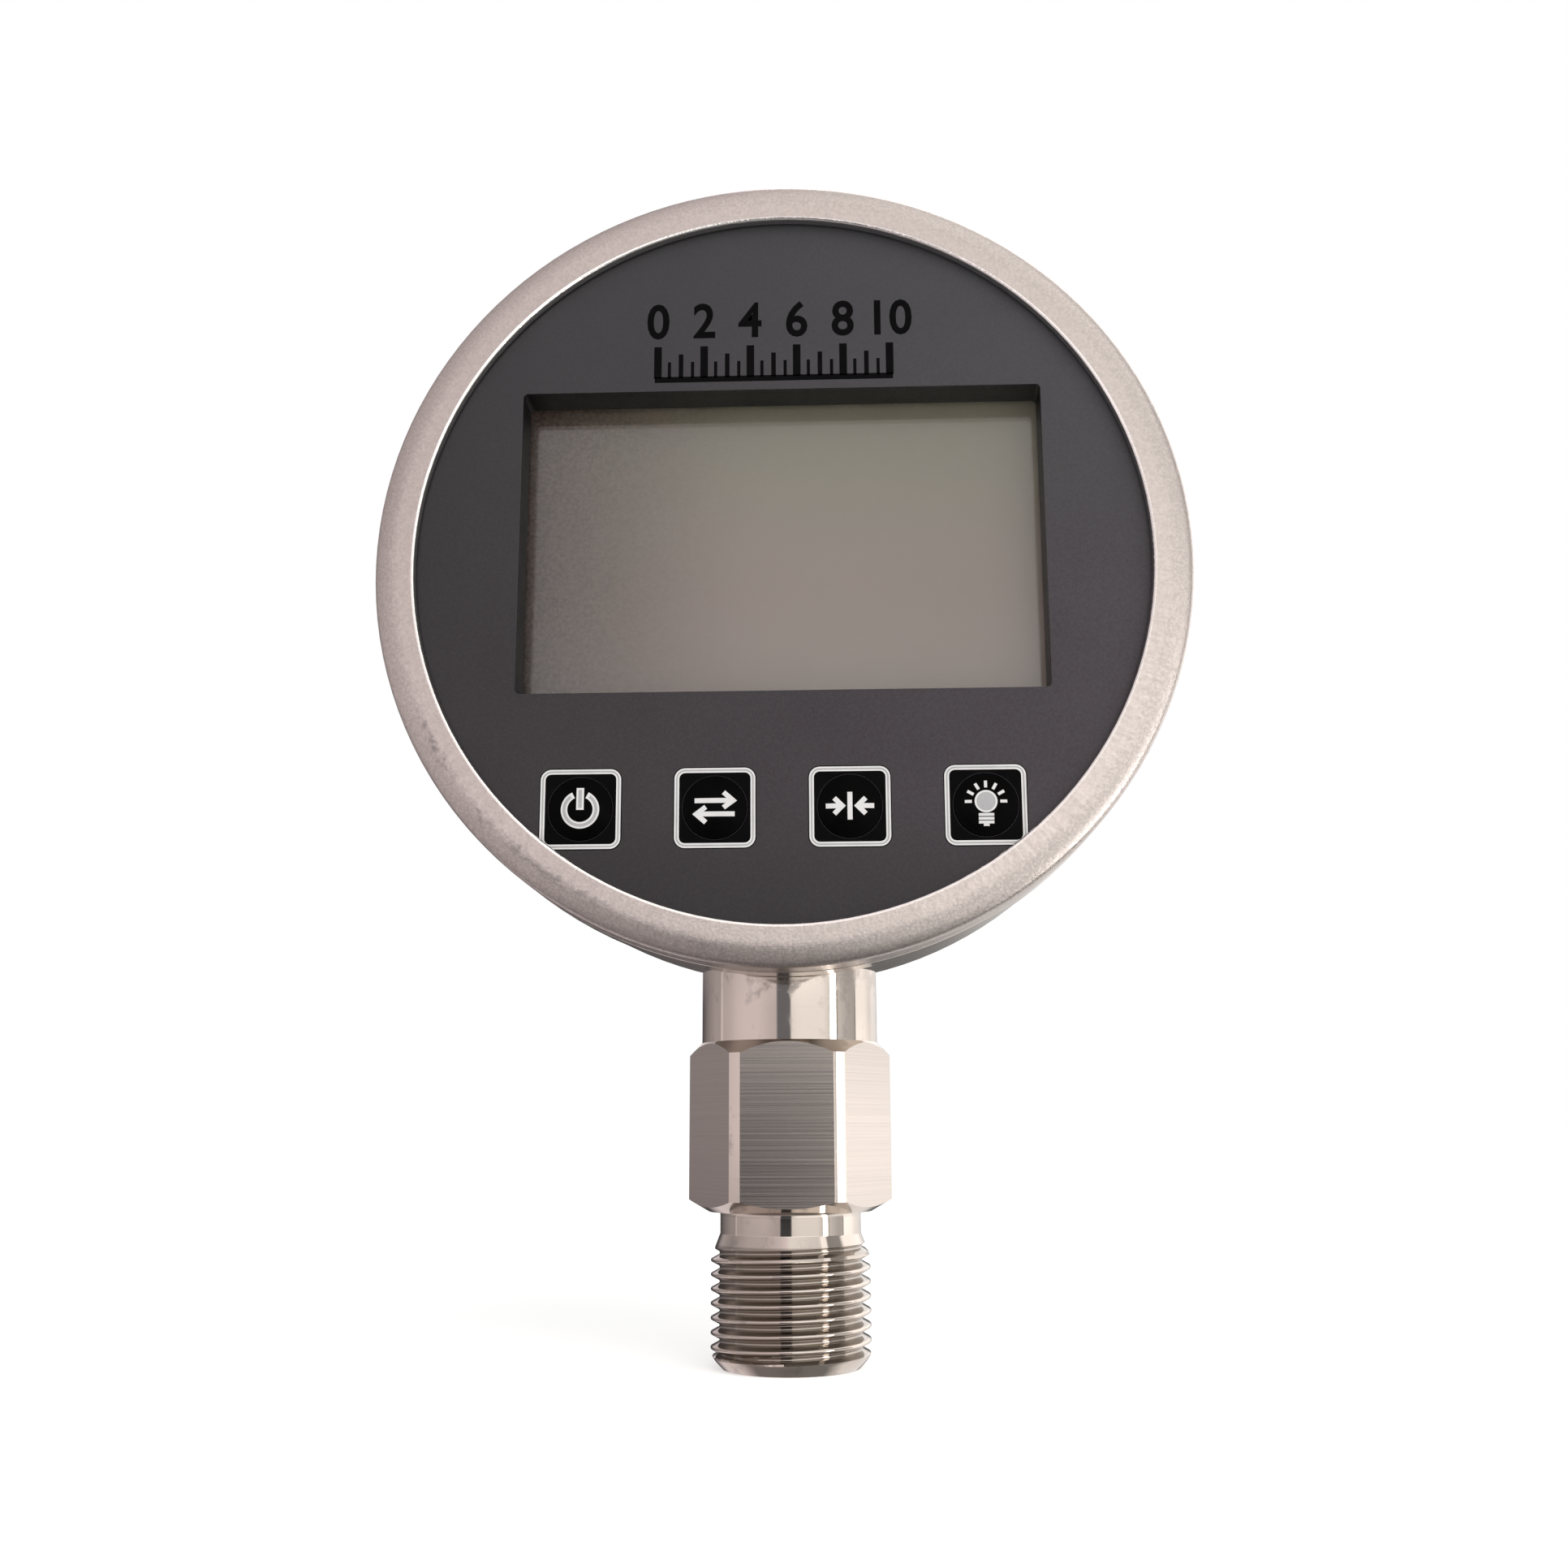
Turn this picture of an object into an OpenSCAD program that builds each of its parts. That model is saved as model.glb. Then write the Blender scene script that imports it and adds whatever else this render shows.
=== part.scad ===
/* [Dial] */
// Outside diameter of the bezel ring
bezel_d = 105; // [103:0.5:110]
// Length of the bezel ring from its front rim to its rear edge
bezel_len = 7; // [6:0.1:8]
// Width of the bezel's front face, seen from the front
bezel_face_w = 5.3; // [4.8:0.1:5.8]
// Radius of the crown between the bezel's front face and its outer edge
bezel_crown = 4.5; // [3.5:0.1:5]
// Radius that rounds the bezel's outer front edge
bezel_round = 1.1; // [0.9:0.1:1.4]
// Wall of the bezel's skirt
skirt_wall = 1.5; // [1.2:0.1:1.8]
// Thickness of the bezel's front lip
lip_t = 1.2; // [1:0.1:1.4]
// Depth of the printed face behind the bezel's rim
face_depth = 1.5; // [1.5:0.1:2.2]
// Thickness of the moulded front panel
panel_t = 2.2; // [2:0.1:2.6]

/* [Display] */
// Distance from the window's upper edge to the top of the bezel's opening
window_top_gap = 23.7; // [22:0.1:27]
// Distance from the window's lower edge to the bottom of the bezel's opening
window_bottom_gap = 29.7; // [29.7:0.1:33]
// Distance from the window's upper corners to the edge of the bezel's opening
window_corner_gap = 5.9; // [5.7:0.1:9]
// Depth of the window recess behind the printed face
window_depth = 5.1; // [4.6:0.1:5.6]
// Thickness of the clear window
lens_t = 1; // [0.8:0.1:1.2]
// Thickness of the display glass
glass_t = 2.2; // [2:0.1:2.6]

/* [Keys] */
// Distance from the key row to the bottom of the bezel's opening
key_rise = 14.7; // [13.8:0.1:14.7]
// Distance from the centre of an outer key to the edge of the bezel's opening
key_edge_gap = 6.06; // [5.8:0.02:7.6]
// Diameter of a key's round cap
key_d = 7.9; // [7:0.1:8.4]
// Height of a key above the printed face
key_proud = 0.35; // [0.2:0.05:0.5]
// Travel of a key when it is pressed
key_travel = 0.5; // [0.3:0.05:0.6]

/* [Case] */
// Depth of the whole case behind the bezel's rim
case_depth = 40; // [39.5:0.5:46]
// Wall of the case at its mouth
case_wall = 1.5; // [1.2:0.1:1.8]
// Wall of the case's back
back_wall = 1.5; // [1.2:0.1:2]
// Radius of the case's rear edge
case_round = 6; // [4.5:0.1:6.5]
// Width of the raised band behind the bezel
band_w = 5.5; // [4:0.1:5.8]
// Step from the raised band down to the case's body
body_step = 1; // [0.8:0.1:1.4]

/* [Stem] */
// Depth of the stem's axis behind the bezel's rim
stem_depth = 25; // [25:0.1:27]
// Diameter of the round neck
neck_d = 23.5; // [22:0.1:23.6]
// Length of the neck between the case and the hexagon
neck_len = 9.4; // [8:0.1:12]
// Size of the hexagon across its flats
hex_af = 24; // [24:0.1:25]
// Diameter to which the hexagon's corners are turned
hex_corner_d = 26.8; // [26:0.1:27.4]
// Length of the hexagon
hex_len = 21.8; // [18:0.1:26]
// Length of the threaded stud below the hexagon
stud_len = 19.7; // [18:0.1:24]
// Outside diameter of the thread
thread_d = 20.955; // [20.5:0.005:21.5]
// Pitch of the thread
thread_pitch = 1.814; // [1.5:0.002:2]
// Depth of the thread
thread_h = 1.162; // [0.9:0.002:1.2]
// Length of the plain relief under the hexagon
relief_len = 2.8; // [2.4:0.1:3.4]
// Diameter of the plain relief
relief_d = 18.5; // [17.8:0.1:18.6]
// Diameter of the pressure port
port_d = 6; // [4:0.1:8]

/* [Sensor] */
// Diameter of the pressure sensor
sensor_d = 15; // [13:0.1:15.2]
// Height of the pressure sensor
sensor_h = 7; // [6:0.1:8]
// Diameter of the stem's threaded spigot inside the case
spigot_d = 18; // [17.8:0.1:18.6]

/* [Battery] */
// Diameter of one cell
cell_d = 10.5; // [10:0.1:10.8]
// Length of one cell
cell_len = 44.5; // [42:0.1:45]
// Thickness of the round back cover
cover_t = 2.4; // [2.2:0.1:3]

/* [Hidden] */
$fn = 96;
// Overrun of every cut past the face that it opens
cut = 1;

// Gaps between pieces that are pressed, dropped or slid together
bezel_fit = 0.05;
seat_fit = 0.05;
key_gap = 0.1;
screw_gap = 0.1;
part_gap = 0.15;
loose_gap = 0.3;

// Bezel, given as radii and as depths behind its front rim
bezel_r = bezel_d / 2;
opening_r = bezel_r - bezel_face_w;
skirt_r = bezel_r - skirt_wall;
lip_round = 0.4;
crown_turn = 30;
crown_extra = bezel_crown - bezel_round;
crown_r = bezel_r - bezel_round - crown_extra * sin(crown_turn);
skirt_edge = 0.5;
arc_steps = 8;
case_arc_steps = 24;

// Printed face and the panel behind it
film_t = 0.3;
film_inset = 0.7;
seal_inset = 0.5;
window_round = 0.6;
panel_r = skirt_r - loose_gap;
film_r = panel_r - film_inset;
panel_front = face_depth + film_t;
panel_back = panel_front + panel_t;

// Case
seam = 0.3;
gasket_t = 0.8;
band_edge = 0.4;
mouth_front = panel_back + gasket_t;
mouth_r = skirt_r - bezel_fit;
cavity_r = mouth_r - case_wall;
band_front = bezel_len + seam;
band_back = band_front + band_w;
body_r = bezel_r - body_step;
cavity_back = case_depth - back_wall;
cavity_round = case_round - back_wall;

// Window stack: clear window, display glass, light guide and the holder that carries them
window_top = opening_r - window_top_gap;
window_bottom = window_bottom_gap - opening_r;
window_up = (window_top + window_bottom) / 2;
window_corner_r = opening_r - window_corner_gap;
window_w = 2 * sqrt(window_corner_r * window_corner_r - window_top * window_top);
window_h = window_top - window_bottom;
frame_wall = 2;
lens_margin = 2;
lens_w = window_w + 2 * lens_margin;
lens_h = window_h + 2 * lens_margin;
lens_front = face_depth + window_depth;
lens_back = lens_front + lens_t;
pocket_lip = 0.2;
frame_back = lens_back + pocket_lip;
frame_w = lens_w + 2 * part_gap + 2 * frame_wall;
frame_h = lens_h + 2 * part_gap + 2 * frame_wall;
glass_margin_w = 1.5;
glass_margin_h = 5;
glass_step = 1.1;
glass_w = window_w + 2 * glass_margin_w;
glass_h = window_h + 2 * glass_margin_h;
glass_front = frame_back + pocket_lip;
glass_back = glass_front + glass_t;
holder_wall = 2.8;
holder_w = glass_w + 2 * part_gap + 2 * holder_wall;
holder_h = glass_h + 2 * part_gap + 2 * holder_wall;
guide_margin = 0.8;
guide_w = window_w + 2 * guide_margin;
guide_h = window_h + 2 * guide_margin;
stack_below = 4;
strip_t = 2;
strip_inset = 1;
strip_end = 2.5;
strip_len = glass_w - 2 * strip_end;
strip_y = glass_h / 2 - strip_inset - strip_t / 2;
led_count = 3;
led_w = 3.2;
led_deep = 1.6;
led_t = 1.2;
led_pitch = guide_h / (led_count + 1);

// Main board, the posts that carry it and what is soldered to its back
board_t = 1.6;
board_edge_gap = 1.4;
board_front = glass_back + stack_below;
board_back = board_front + board_t;
board_r = cavity_r - board_edge_gap;
boss_r = 2.6;
boss_gap = 0.5;
boss_edge_gap = 1.2;
boss_circle_r = cavity_r - boss_r - boss_edge_gap;
boss_reach = holder_h / 2 + boss_r + boss_gap;
boss_places = [for (y = [window_up - boss_reach, window_up + boss_reach], side = [-1, 1])
    [side * sqrt(boss_circle_r * boss_circle_r - y * y), y]];
board_screw_d = 2.5;
board_screw_len = 7;
board_screw_head_d = 4.6;
board_screw_head_t = 1.8;
board_screw_socket_d = 2.2;
board_screw_socket_deep = 1;
controller_w = 12;
controller_y = 6;
chip_t = 1.5;
measuring_w = 8;
measuring_h = 6;
measuring_place = [-16, -20];
connector_h = 6;
connector_deep = 6;
sensor_plug_w = 9;
battery_plug_w = 7;

// Keys and the switches behind them
key_count = 4;
key_shares = [for (i = [0 : key_count - 1]) i - (key_count - 1) / 2];
key_drop = opening_r - key_rise;
key_corner_r = opening_r - key_edge_gap;
key_pitch = 2 * sqrt(key_corner_r * key_corner_r - key_drop * key_drop) / (key_count - 1);
key_dome = 0.25;
key_dome_shares = [0, 0.25, 0.5, 0.75, 1];
key_r = key_d / 2;
key_front = face_depth - key_proud;
key_flange_extra = 1.25;
key_flange_t = 0.8;
key_flange_r = key_r + key_flange_extra;
key_flange_front = panel_back + loose_gap;
key_stem_d = 4;
key_guide_wall = 1.2;
key_guide_gap = 0.2;
key_guide_len = 3;
switch_w = 6;
switch_h = 3.4;
switch_front_h = 4.4;
switch_front = board_front - switch_front_h;
switch_hole_extra = 0.3;
plunger_d = 3.4;
plunger_len = 2.2;

// Stem, given as heights above the open end of its port
hex_bottom = stud_len;
hex_top = hex_bottom + hex_len;
shoulder = hex_top + neck_len;
shoulder_sink = 0.5;
dial_up = shoulder + body_r - shoulder_sink;
neck_r = neck_d / 2;
hex_corner_r = hex_corner_d / 2;
hex_top_angle = 45;
hex_bottom_angle = 30;
face_ring_r = 10.8;
hex_sides = 6;
stud_chamfer = 1.5;
stud_end_r = 8.9;
thread_r = thread_d / 2;
root_r = thread_r - thread_h;
crest_w = 0.25;
flank_w = (thread_pitch - crest_w) / 2;
lead_share = 0.5;
lead_r = thread_r - thread_h * lead_share;
lead_rise = flank_w * (1 - lead_share);
relief_r = relief_d / 2;
relief_bottom = stud_len - relief_len;
groove_from = stud_chamfer + crest_w;
groove_count = floor((relief_bottom - groove_from) / thread_pitch);

// Sensor in the neck, and the nut that holds the stem in the case
spigot_r = spigot_d / 2;
spigot_rise = 8;
spigot_top = shoulder + spigot_rise;
seat_r = sensor_d / 2 + seat_fit;
seat_drop = 8;
seat_floor = shoulder - seat_drop;
oring_t = 1.8;
oring_mid_r = 5.2;
sensor_bottom = seat_floor + oring_t;
sensor_top = sensor_bottom + sensor_h;
diaphragm_d = 8.2;
diaphragm_deep = 0.4;
header_d = 7;
header_t = 1.2;
header_top = sensor_top + header_t;
retainer_t = 3;
retainer_hole_d = 9;
retainer_key_d = 1.6;
retainer_key_deep = 1.5;
pin_d = 0.6;
pin_len = 3;
pin_pitch = 1.5;
pin_top = header_top + pin_len;
wire_d = 1;
nut_extra_af = 5;
nut_af = spigot_d + nut_extra_af;
nut_t = 3.5;
nut_bottom = spigot_top - nut_t;
washer_extra = 3.5;
washer_r = spigot_r + washer_extra;
board_stem_gap = 3;
board_low = dial_up - spigot_top - board_stem_gap;
sensor_plug_y = -(board_low - connector_deep);
connector_back = board_back + connector_h;
wire_bend = stem_depth - connector_back;

// Battery tray, cells and the round back cover
cell_count = 3;
cell_pitch_gap = 0.5;
cell_pitch = cell_d + cell_pitch_gap;
nub_d = 3.8;
nub_len = 0.8;
spring_h = 4;
spring_wide_d = 7.4;
spring_tip_d = 4.8;
plate_t = 0.5;
plate_w = 8;
tray_wall = 1.5;
tray_in_w = cell_len + spring_h + 2 * plate_t;
tray_in_h = cell_count * cell_pitch + cell_pitch_gap;
cell_rear_gap = 0.5;
cell_floor_gap = 0.1;
cell_depth = cavity_back - cell_rear_gap - cell_d / 2;
tray_floor = cell_depth - cell_d / 2 - cell_floor_gap;
tray_front = tray_floor - tray_wall;
flange_t = 1.8;
flange_r = cavity_r - cavity_round - loose_gap;
flange_front = cavity_back - flange_t;
cover_inset = 2;
cover_r = body_r - case_round - cover_inset;
cover_gasket_t = 0.8;
cover_front = case_depth + cover_gasket_t;
cover_back = cover_front + cover_t;
cover_rim_t = 1.6;
cover_rim_w = 9;
cover_edge = 0.6;
post_inset = 5;
post_r = 3;
post_len = 5;
post_count = 4;
post_places = [for (i = [0 : post_count - 1]) let (a = (i + 1 / 2) * 360 / post_count)
    (cover_r - post_inset) * [cos(a), sin(a)]];
cover_screw_d = 3;
cover_screw_len = 8;
cover_head_d = 5.4;
cover_head_t = 1.2;
cover_head_gap = 0.2;
cover_socket_d = 2.4;
cover_socket_deep = 0.7;
battery_plug_place = [18, -6];
lead_pitch = 2.5;
lead_d = 1.2;

// Places children in the dial's own frame: x right, y up, z out of the face
module at_dial() {
    translate([0, -stem_depth, dial_up]) rotate([90, 0, 0]) children();
}

// Extrudes an outline between two depths behind the bezel's rim
module slab(front, back) {
    translate([0, 0, -back]) linear_extrude(back - front) children();
}

// Turns an outline of [radius, depth] points about the dial's axis
module turned(points) {
    rotate_extrude() polygon([for (p = points) [p[0], -p[1]]]);
}

// Points of an arc about a centre, from one angle to another
function arc(centre, r, from, to, first = 0, steps = arc_steps) = [for (i = [first : steps])
    let (a = from + (to - from) * i / steps) centre + r * [cos(a), sin(a)]];

// Rectangle with round corners
module plate(w, h, r) {
    square([w - 2 * r, h], center = true);
    square([w, h - 2 * r], center = true);
    for (x = [-1, 1], y = [-1, 1]) translate([x * (w / 2 - r), y * (h / 2 - r)]) circle(r);
}

// Flat ring
module band(outer, inner) {
    difference() {
        circle(outer);
        circle(inner);
    }
}

module at_window() {
    translate([0, window_up, 0]) children();
}

module at_key(share) {
    translate([share * key_pitch, -key_drop, 0]) children();
}

module window_outline() {
    at_window() plate(window_w, window_h, window_round);
}

module key_holes(front, back) {
    slab(front, back) for (share = key_shares) at_key(share) circle(key_r + key_gap);
}

module bezel_ring() {
    color("#c8c0ba") at_dial() turned(concat(
        [[opening_r, lip_t]],
        arc([opening_r + lip_round, lip_round], lip_round, 180, 270),
        arc([crown_r, bezel_crown], bezel_crown, 270, 270 + crown_turn),
        arc([bezel_r - bezel_round, bezel_crown - crown_extra * cos(crown_turn)], bezel_round,
            270 + crown_turn, 360, 1),
        arc([bezel_r - skirt_edge, bezel_len - skirt_edge], skirt_edge, 0, 90),
        [[skirt_r, bezel_len], [skirt_r, lip_t]]));
}

module lip_seal() {
    color("#0c0c0d") at_dial() slab(lip_t, face_depth) band(film_r, opening_r + seal_inset);
}

module face_overlay() {
    color("#47464a") at_dial() difference() {
        slab(face_depth, panel_front) circle(film_r);
        slab(face_depth - cut, panel_front + cut) window_outline();
        key_holes(face_depth - cut, panel_front + cut);
    }
}

module front_panel() {
    color("#17171a") at_dial() difference() {
        union() {
            slab(panel_front, panel_back) circle(panel_r);
            slab(panel_back, frame_back) at_window() plate(frame_w, frame_h, frame_wall);
            slab(panel_back, board_front) for (p = boss_places) translate(p) circle(boss_r);
            slab(panel_back, panel_back + key_guide_len) for (share = key_shares) at_key(share)
                circle(key_flange_r + key_guide_gap + key_guide_wall);
        }
        slab(panel_front - cut, frame_back + cut) window_outline();
        slab(lens_front, frame_back + cut) at_window()
            plate(lens_w + 2 * part_gap, lens_h + 2 * part_gap, window_round);
        key_holes(panel_front - cut, panel_back + cut);
        slab(panel_back, panel_back + key_guide_len + cut) for (share = key_shares) at_key(share)
            circle(key_flange_r + key_guide_gap);
        slab(board_back - board_screw_len - loose_gap, board_front + cut) for (p = boss_places)
            translate(p) circle(board_screw_d / 2 + screw_gap);
    }
}

module panel_gasket() {
    color("#101011") at_dial() slab(panel_back, mouth_front) band(mouth_r, cavity_r);
}

module window_lens() {
    color("#dfe6e6", 0.35) at_dial() slab(lens_front, lens_back) at_window()
        plate(lens_w, lens_h, window_round);
}

module lcd_glass() {
    color("#8c8880") at_dial() at_window() {
        slab(glass_front, glass_front + glass_step) square([glass_w, glass_h], center = true);
        slab(glass_front + glass_step, glass_back)
            square([glass_w, 2 * strip_y - strip_t - 2 * part_gap], center = true);
    }
}

module strip_outlines(gap) {
    for (side = [-1, 1]) translate([0, side * strip_y])
        square([strip_len + 2 * gap, strip_t + 2 * gap], center = true);
}

module lcd_holder() {
    color("#ecebe6") at_dial() at_window() difference() {
        slab(glass_front, board_front) plate(holder_w, holder_h, holder_wall);
        slab(glass_front - cut, glass_back)
            square([glass_w + 2 * part_gap, glass_h + 2 * part_gap], center = true);
        slab(glass_front, board_front + cut) square([guide_w, guide_h], center = true);
        slab(glass_front, board_front + cut) strip_outlines(part_gap);
    }
}

// Outlines of the lamps at the light guide's right edge
module led_outlines(gap) {
    for (i = [1 : led_count])
        translate([guide_w / 2 - part_gap - led_deep - gap, i * led_pitch - guide_h / 2 - led_w / 2 - gap])
            square([led_deep + 2 * gap, led_w + 2 * gap]);
}

module light_guide() {
    color("#f4f4ee") at_dial() at_window() slab(glass_back + loose_gap, board_front) difference() {
        square([guide_w - 2 * part_gap, guide_h - 2 * part_gap], center = true);
        led_outlines(part_gap);
    }
}

module backlight_leds() {
    color("#f0ead0") at_dial() at_window() slab(board_front - led_t, board_front) led_outlines(0);
}

module contact_strips() {
    color("#3a3a3e") at_dial() at_window() slab(glass_front + glass_step, board_front)
        strip_outlines(0);
}

module main_board() {
    color("#1f5a34") at_dial() slab(board_front, board_back) difference() {
        circle(board_r);
        translate([-board_r, -board_low - board_r]) square([2 * board_r, board_r]);
        for (p = boss_places) translate(p) circle(board_screw_d / 2 + screw_gap);
    }
}

module microcontroller() {
    color("#1b1b1d") at_dial() translate([0, controller_y]) slab(board_back, board_back + chip_t)
        square(controller_w, center = true);
}

module measuring_chip() {
    color("#1b1b1d") at_dial() translate(measuring_place) slab(board_back, board_back + chip_t)
        square([measuring_w, measuring_h], center = true);
}

module sensor_connector() {
    color("#efece2") at_dial() translate([0, sensor_plug_y]) slab(board_back, connector_back)
        square([sensor_plug_w, connector_deep], center = true);
}

module battery_connector() {
    color("#efece2") at_dial() translate(battery_plug_place) slab(board_back, connector_back)
        square([battery_plug_w, connector_deep], center = true);
}

module board_screws() {
    color("#b9b9bc") at_dial() for (p = boss_places) translate(p) difference() {
        union() {
            slab(board_back - board_screw_len, board_back) circle(board_screw_d / 2);
            slab(board_back, board_back + board_screw_head_t) circle(board_screw_head_d / 2);
        }
        slab(board_back + board_screw_head_t - board_screw_socket_deep,
             board_back + board_screw_head_t + cut)
            circle(board_screw_socket_d / 2, $fn = hex_sides);
    }
}

module tact_switches() {
    color("#26262a") at_dial() for (share = key_shares) at_key(share) difference() {
        slab(board_front - switch_h, board_front) square(switch_w, center = true);
        slab(switch_front, switch_front + plunger_len + key_travel + switch_hole_extra)
            circle(plunger_d / 2 + key_gap);
    }
}

module key(share) {
    color("#0e0e10") at_dial() at_key(share) turned(concat(
        [[0, switch_front],
         [key_stem_d / 2, switch_front],
         [key_stem_d / 2, key_flange_front + key_flange_t],
         [key_flange_r, key_flange_front + key_flange_t],
         [key_flange_r, key_flange_front],
         [key_r, key_flange_front]],
        [for (i = [len(key_dome_shares) - 1 : -1 : 0]) let (s = key_dome_shares[i])
            [key_r * s, key_front + key_dome * s * s]]));
}

module key_power() {
    key(key_shares[0]);
}

module key_unit() {
    key(key_shares[1]);
}

module key_zero() {
    key(key_shares[2]);
}

module key_light() {
    key(key_shares[3]);
}

module plunger(share) {
    color("#d9d6cc") at_dial() at_key(share) slab(switch_front, switch_front + plunger_len)
        circle(plunger_d / 2);
}

module plunger_power() {
    plunger(key_shares[0]);
}

module plunger_unit() {
    plunger(key_shares[1]);
}

module plunger_zero() {
    plunger(key_shares[2]);
}

module plunger_light() {
    plunger(key_shares[3]);
}

// Outlines of the holes for the back cover's screws
module post_holes() {
    for (p = post_places) translate(p) circle(cover_screw_d / 2 + screw_gap);
}

// Space inside the case, as a solid
module cavity() {
    at_dial() turned(concat(
        [[0, mouth_front - cut], [cavity_r, mouth_front - cut]],
        arc([cavity_r - cavity_round, cavity_back - cavity_round], cavity_round, 0, 90),
        [[0, cavity_back]]));
}

module case_body() {
    color("#b7afa9") difference() {
        at_dial() turned(concat(
            [[0, mouth_front], [mouth_r, mouth_front], [mouth_r, band_front]],
            arc([bezel_r - band_edge, band_front + band_edge], band_edge, 270, 360),
            arc([bezel_r - band_edge, band_back - band_edge], band_edge, 0, 90),
            [[body_r, band_back]],
            arc([body_r - case_round, case_depth - case_round], case_round, 0, 90, 0, case_arc_steps),
            [[0, case_depth]]));
        cavity();
        translate([0, 0, shoulder - cut]) cylinder(r = spigot_r + part_gap, h = spigot_rise + cut);
        at_dial() slab(cavity_back - cut, case_depth + cut) {
            plate(tray_in_w, tray_in_h, tray_wall);
            post_holes();
        }
    }
}

module stem() {
    groove_points = [for (i = [0 : groove_count - 1]) let (z = groove_from + i * thread_pitch)
        each [[thread_r, z], [root_r, z + flank_w],
              i < groove_count - 1 ? [thread_r, z + 2 * flank_w] : [lead_r, z + flank_w + lead_rise]]];
    color("#c4beb8") difference() {
        union() {
            rotate_extrude() polygon(concat(
                [[0, 0], [stud_end_r, 0], [thread_r, stud_chamfer]],
                groove_points,
                [[relief_r, relief_bottom], [relief_r, hex_bottom + cut], [0, hex_bottom + cut]]));
            intersection() {
                rotate_extrude() polygon([
                    [0, hex_bottom],
                    [face_ring_r, hex_bottom],
                    [hex_corner_r, hex_bottom + (hex_corner_r - face_ring_r) * tan(hex_bottom_angle)],
                    [hex_corner_r, hex_top - (hex_corner_r - neck_r) * tan(hex_top_angle)],
                    [neck_r, hex_top],
                    [0, hex_top]]);
                translate([0, 0, hex_bottom])
                    cylinder(r = hex_af / 2 / cos(180 / hex_sides), h = hex_len, $fn = hex_sides);
            }
            difference() {
                translate([0, 0, hex_bottom + cut]) cylinder(r = neck_r, h = shoulder - hex_bottom - cut);
                at_dial() slab(-cut, case_depth + cut) circle(body_r);
            }
            translate([0, 0, hex_top]) cylinder(r = spigot_r, h = spigot_top - hex_top);
        }
        translate([0, 0, -cut]) cylinder(d = port_d, h = seat_floor + 2 * cut);
        translate([0, 0, seat_floor]) cylinder(r = seat_r, h = spigot_top - seat_floor + cut);
    }
}

module stem_washer() {
    color("#a9a6a2") intersection() {
        translate([0, 0, shoulder]) difference() {
            cylinder(r = washer_r, h = nut_bottom - shoulder);
            translate([0, 0, -cut]) cylinder(r = spigot_r + part_gap, h = nut_bottom - shoulder + 2 * cut);
        }
        cavity();
    }
}

module stem_nut() {
    color("#b5a05c") translate([0, 0, nut_bottom]) difference() {
        cylinder(r = nut_af / 2 / cos(180 / hex_sides), h = nut_t, $fn = hex_sides);
        translate([0, 0, -cut]) cylinder(r = spigot_r + seat_fit, h = nut_t + 2 * cut);
    }
}

module sensor_cell() {
    color("#c9c7c4") difference() {
        union() {
            translate([0, 0, sensor_bottom]) cylinder(d = sensor_d, h = sensor_h);
            translate([0, 0, sensor_top]) cylinder(d = header_d, h = header_t);
        }
        translate([0, 0, sensor_bottom - cut]) cylinder(d = diaphragm_d, h = diaphragm_deep + cut);
    }
}

module sensor_oring() {
    color("#141415") translate([0, 0, seat_floor + oring_t / 2]) rotate_extrude()
        translate([oring_mid_r, 0]) circle(oring_t / 2);
}

module sensor_retainer() {
    color("#b9b4ae") translate([0, 0, sensor_top]) difference() {
        cylinder(d = sensor_d, h = retainer_t);
        translate([0, 0, -cut]) cylinder(d = retainer_hole_d, h = retainer_t + 2 * cut);
        for (side = [-1, 1]) translate([side * (sensor_d + retainer_hole_d) / 4, 0,
                                        retainer_t - retainer_key_deep])
            cylinder(d = retainer_key_d, h = retainer_key_deep + cut);
    }
}

module along_pins() {
    for (i = [0 : 3]) translate([(i - 3 / 2) * pin_pitch, 0, 0]) children();
}

module sensor_pins() {
    color("#cdb35f") along_pins() translate([0, 0, header_top]) cylinder(d = pin_d, h = pin_len);
}

module sensor_wires() {
    wire_corner = dial_up + sensor_plug_y - wire_bend;
    color("#b5342c") along_pins() {
        translate([0, 0, pin_top]) cylinder(d = wire_d, h = wire_corner - pin_top);
        translate([0, -wire_bend, wire_corner]) rotate([90, 0, 90]) rotate_extrude(angle = 90)
            translate([wire_bend, 0]) circle(d = wire_d);
    }
}

module battery_tray() {
    color("#1d1d20") at_dial() difference() {
        union() {
            slab(tray_front, cavity_back)
                plate(tray_in_w + 2 * tray_wall, tray_in_h + 2 * tray_wall, tray_wall);
            slab(flange_front, cavity_back) circle(flange_r);
            slab(flange_front - post_len, cavity_back) for (p = post_places) translate(p) circle(post_r);
        }
        slab(tray_floor, cavity_back + cut) plate(tray_in_w, tray_in_h, tray_wall);
        slab(flange_front - post_len - cut, cavity_back + cut) post_holes();
    }
}

// Places children on a cell's axis, with its positive end towards +x
module at_cell(i) {
    at_dial() translate([0, (i - (cell_count - 1) / 2) * cell_pitch, -cell_depth])
        rotate([0, i % 2 == 0 ? 0 : 180, 0]) children();
}

module battery_cell(i) {
    color("#3f6b4a") at_cell(i) translate([tray_in_w / 2 - plate_t - cell_len, 0, 0]) rotate([0, 90, 0]) {
        cylinder(d = cell_d, h = cell_len - nub_len);
        translate([0, 0, cell_len - nub_len]) cylinder(d = nub_d, h = nub_len);
    }
}

module battery_cell_1() {
    battery_cell(0);
}

module battery_cell_2() {
    battery_cell(1);
}

module battery_cell_3() {
    battery_cell(2);
}

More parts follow.
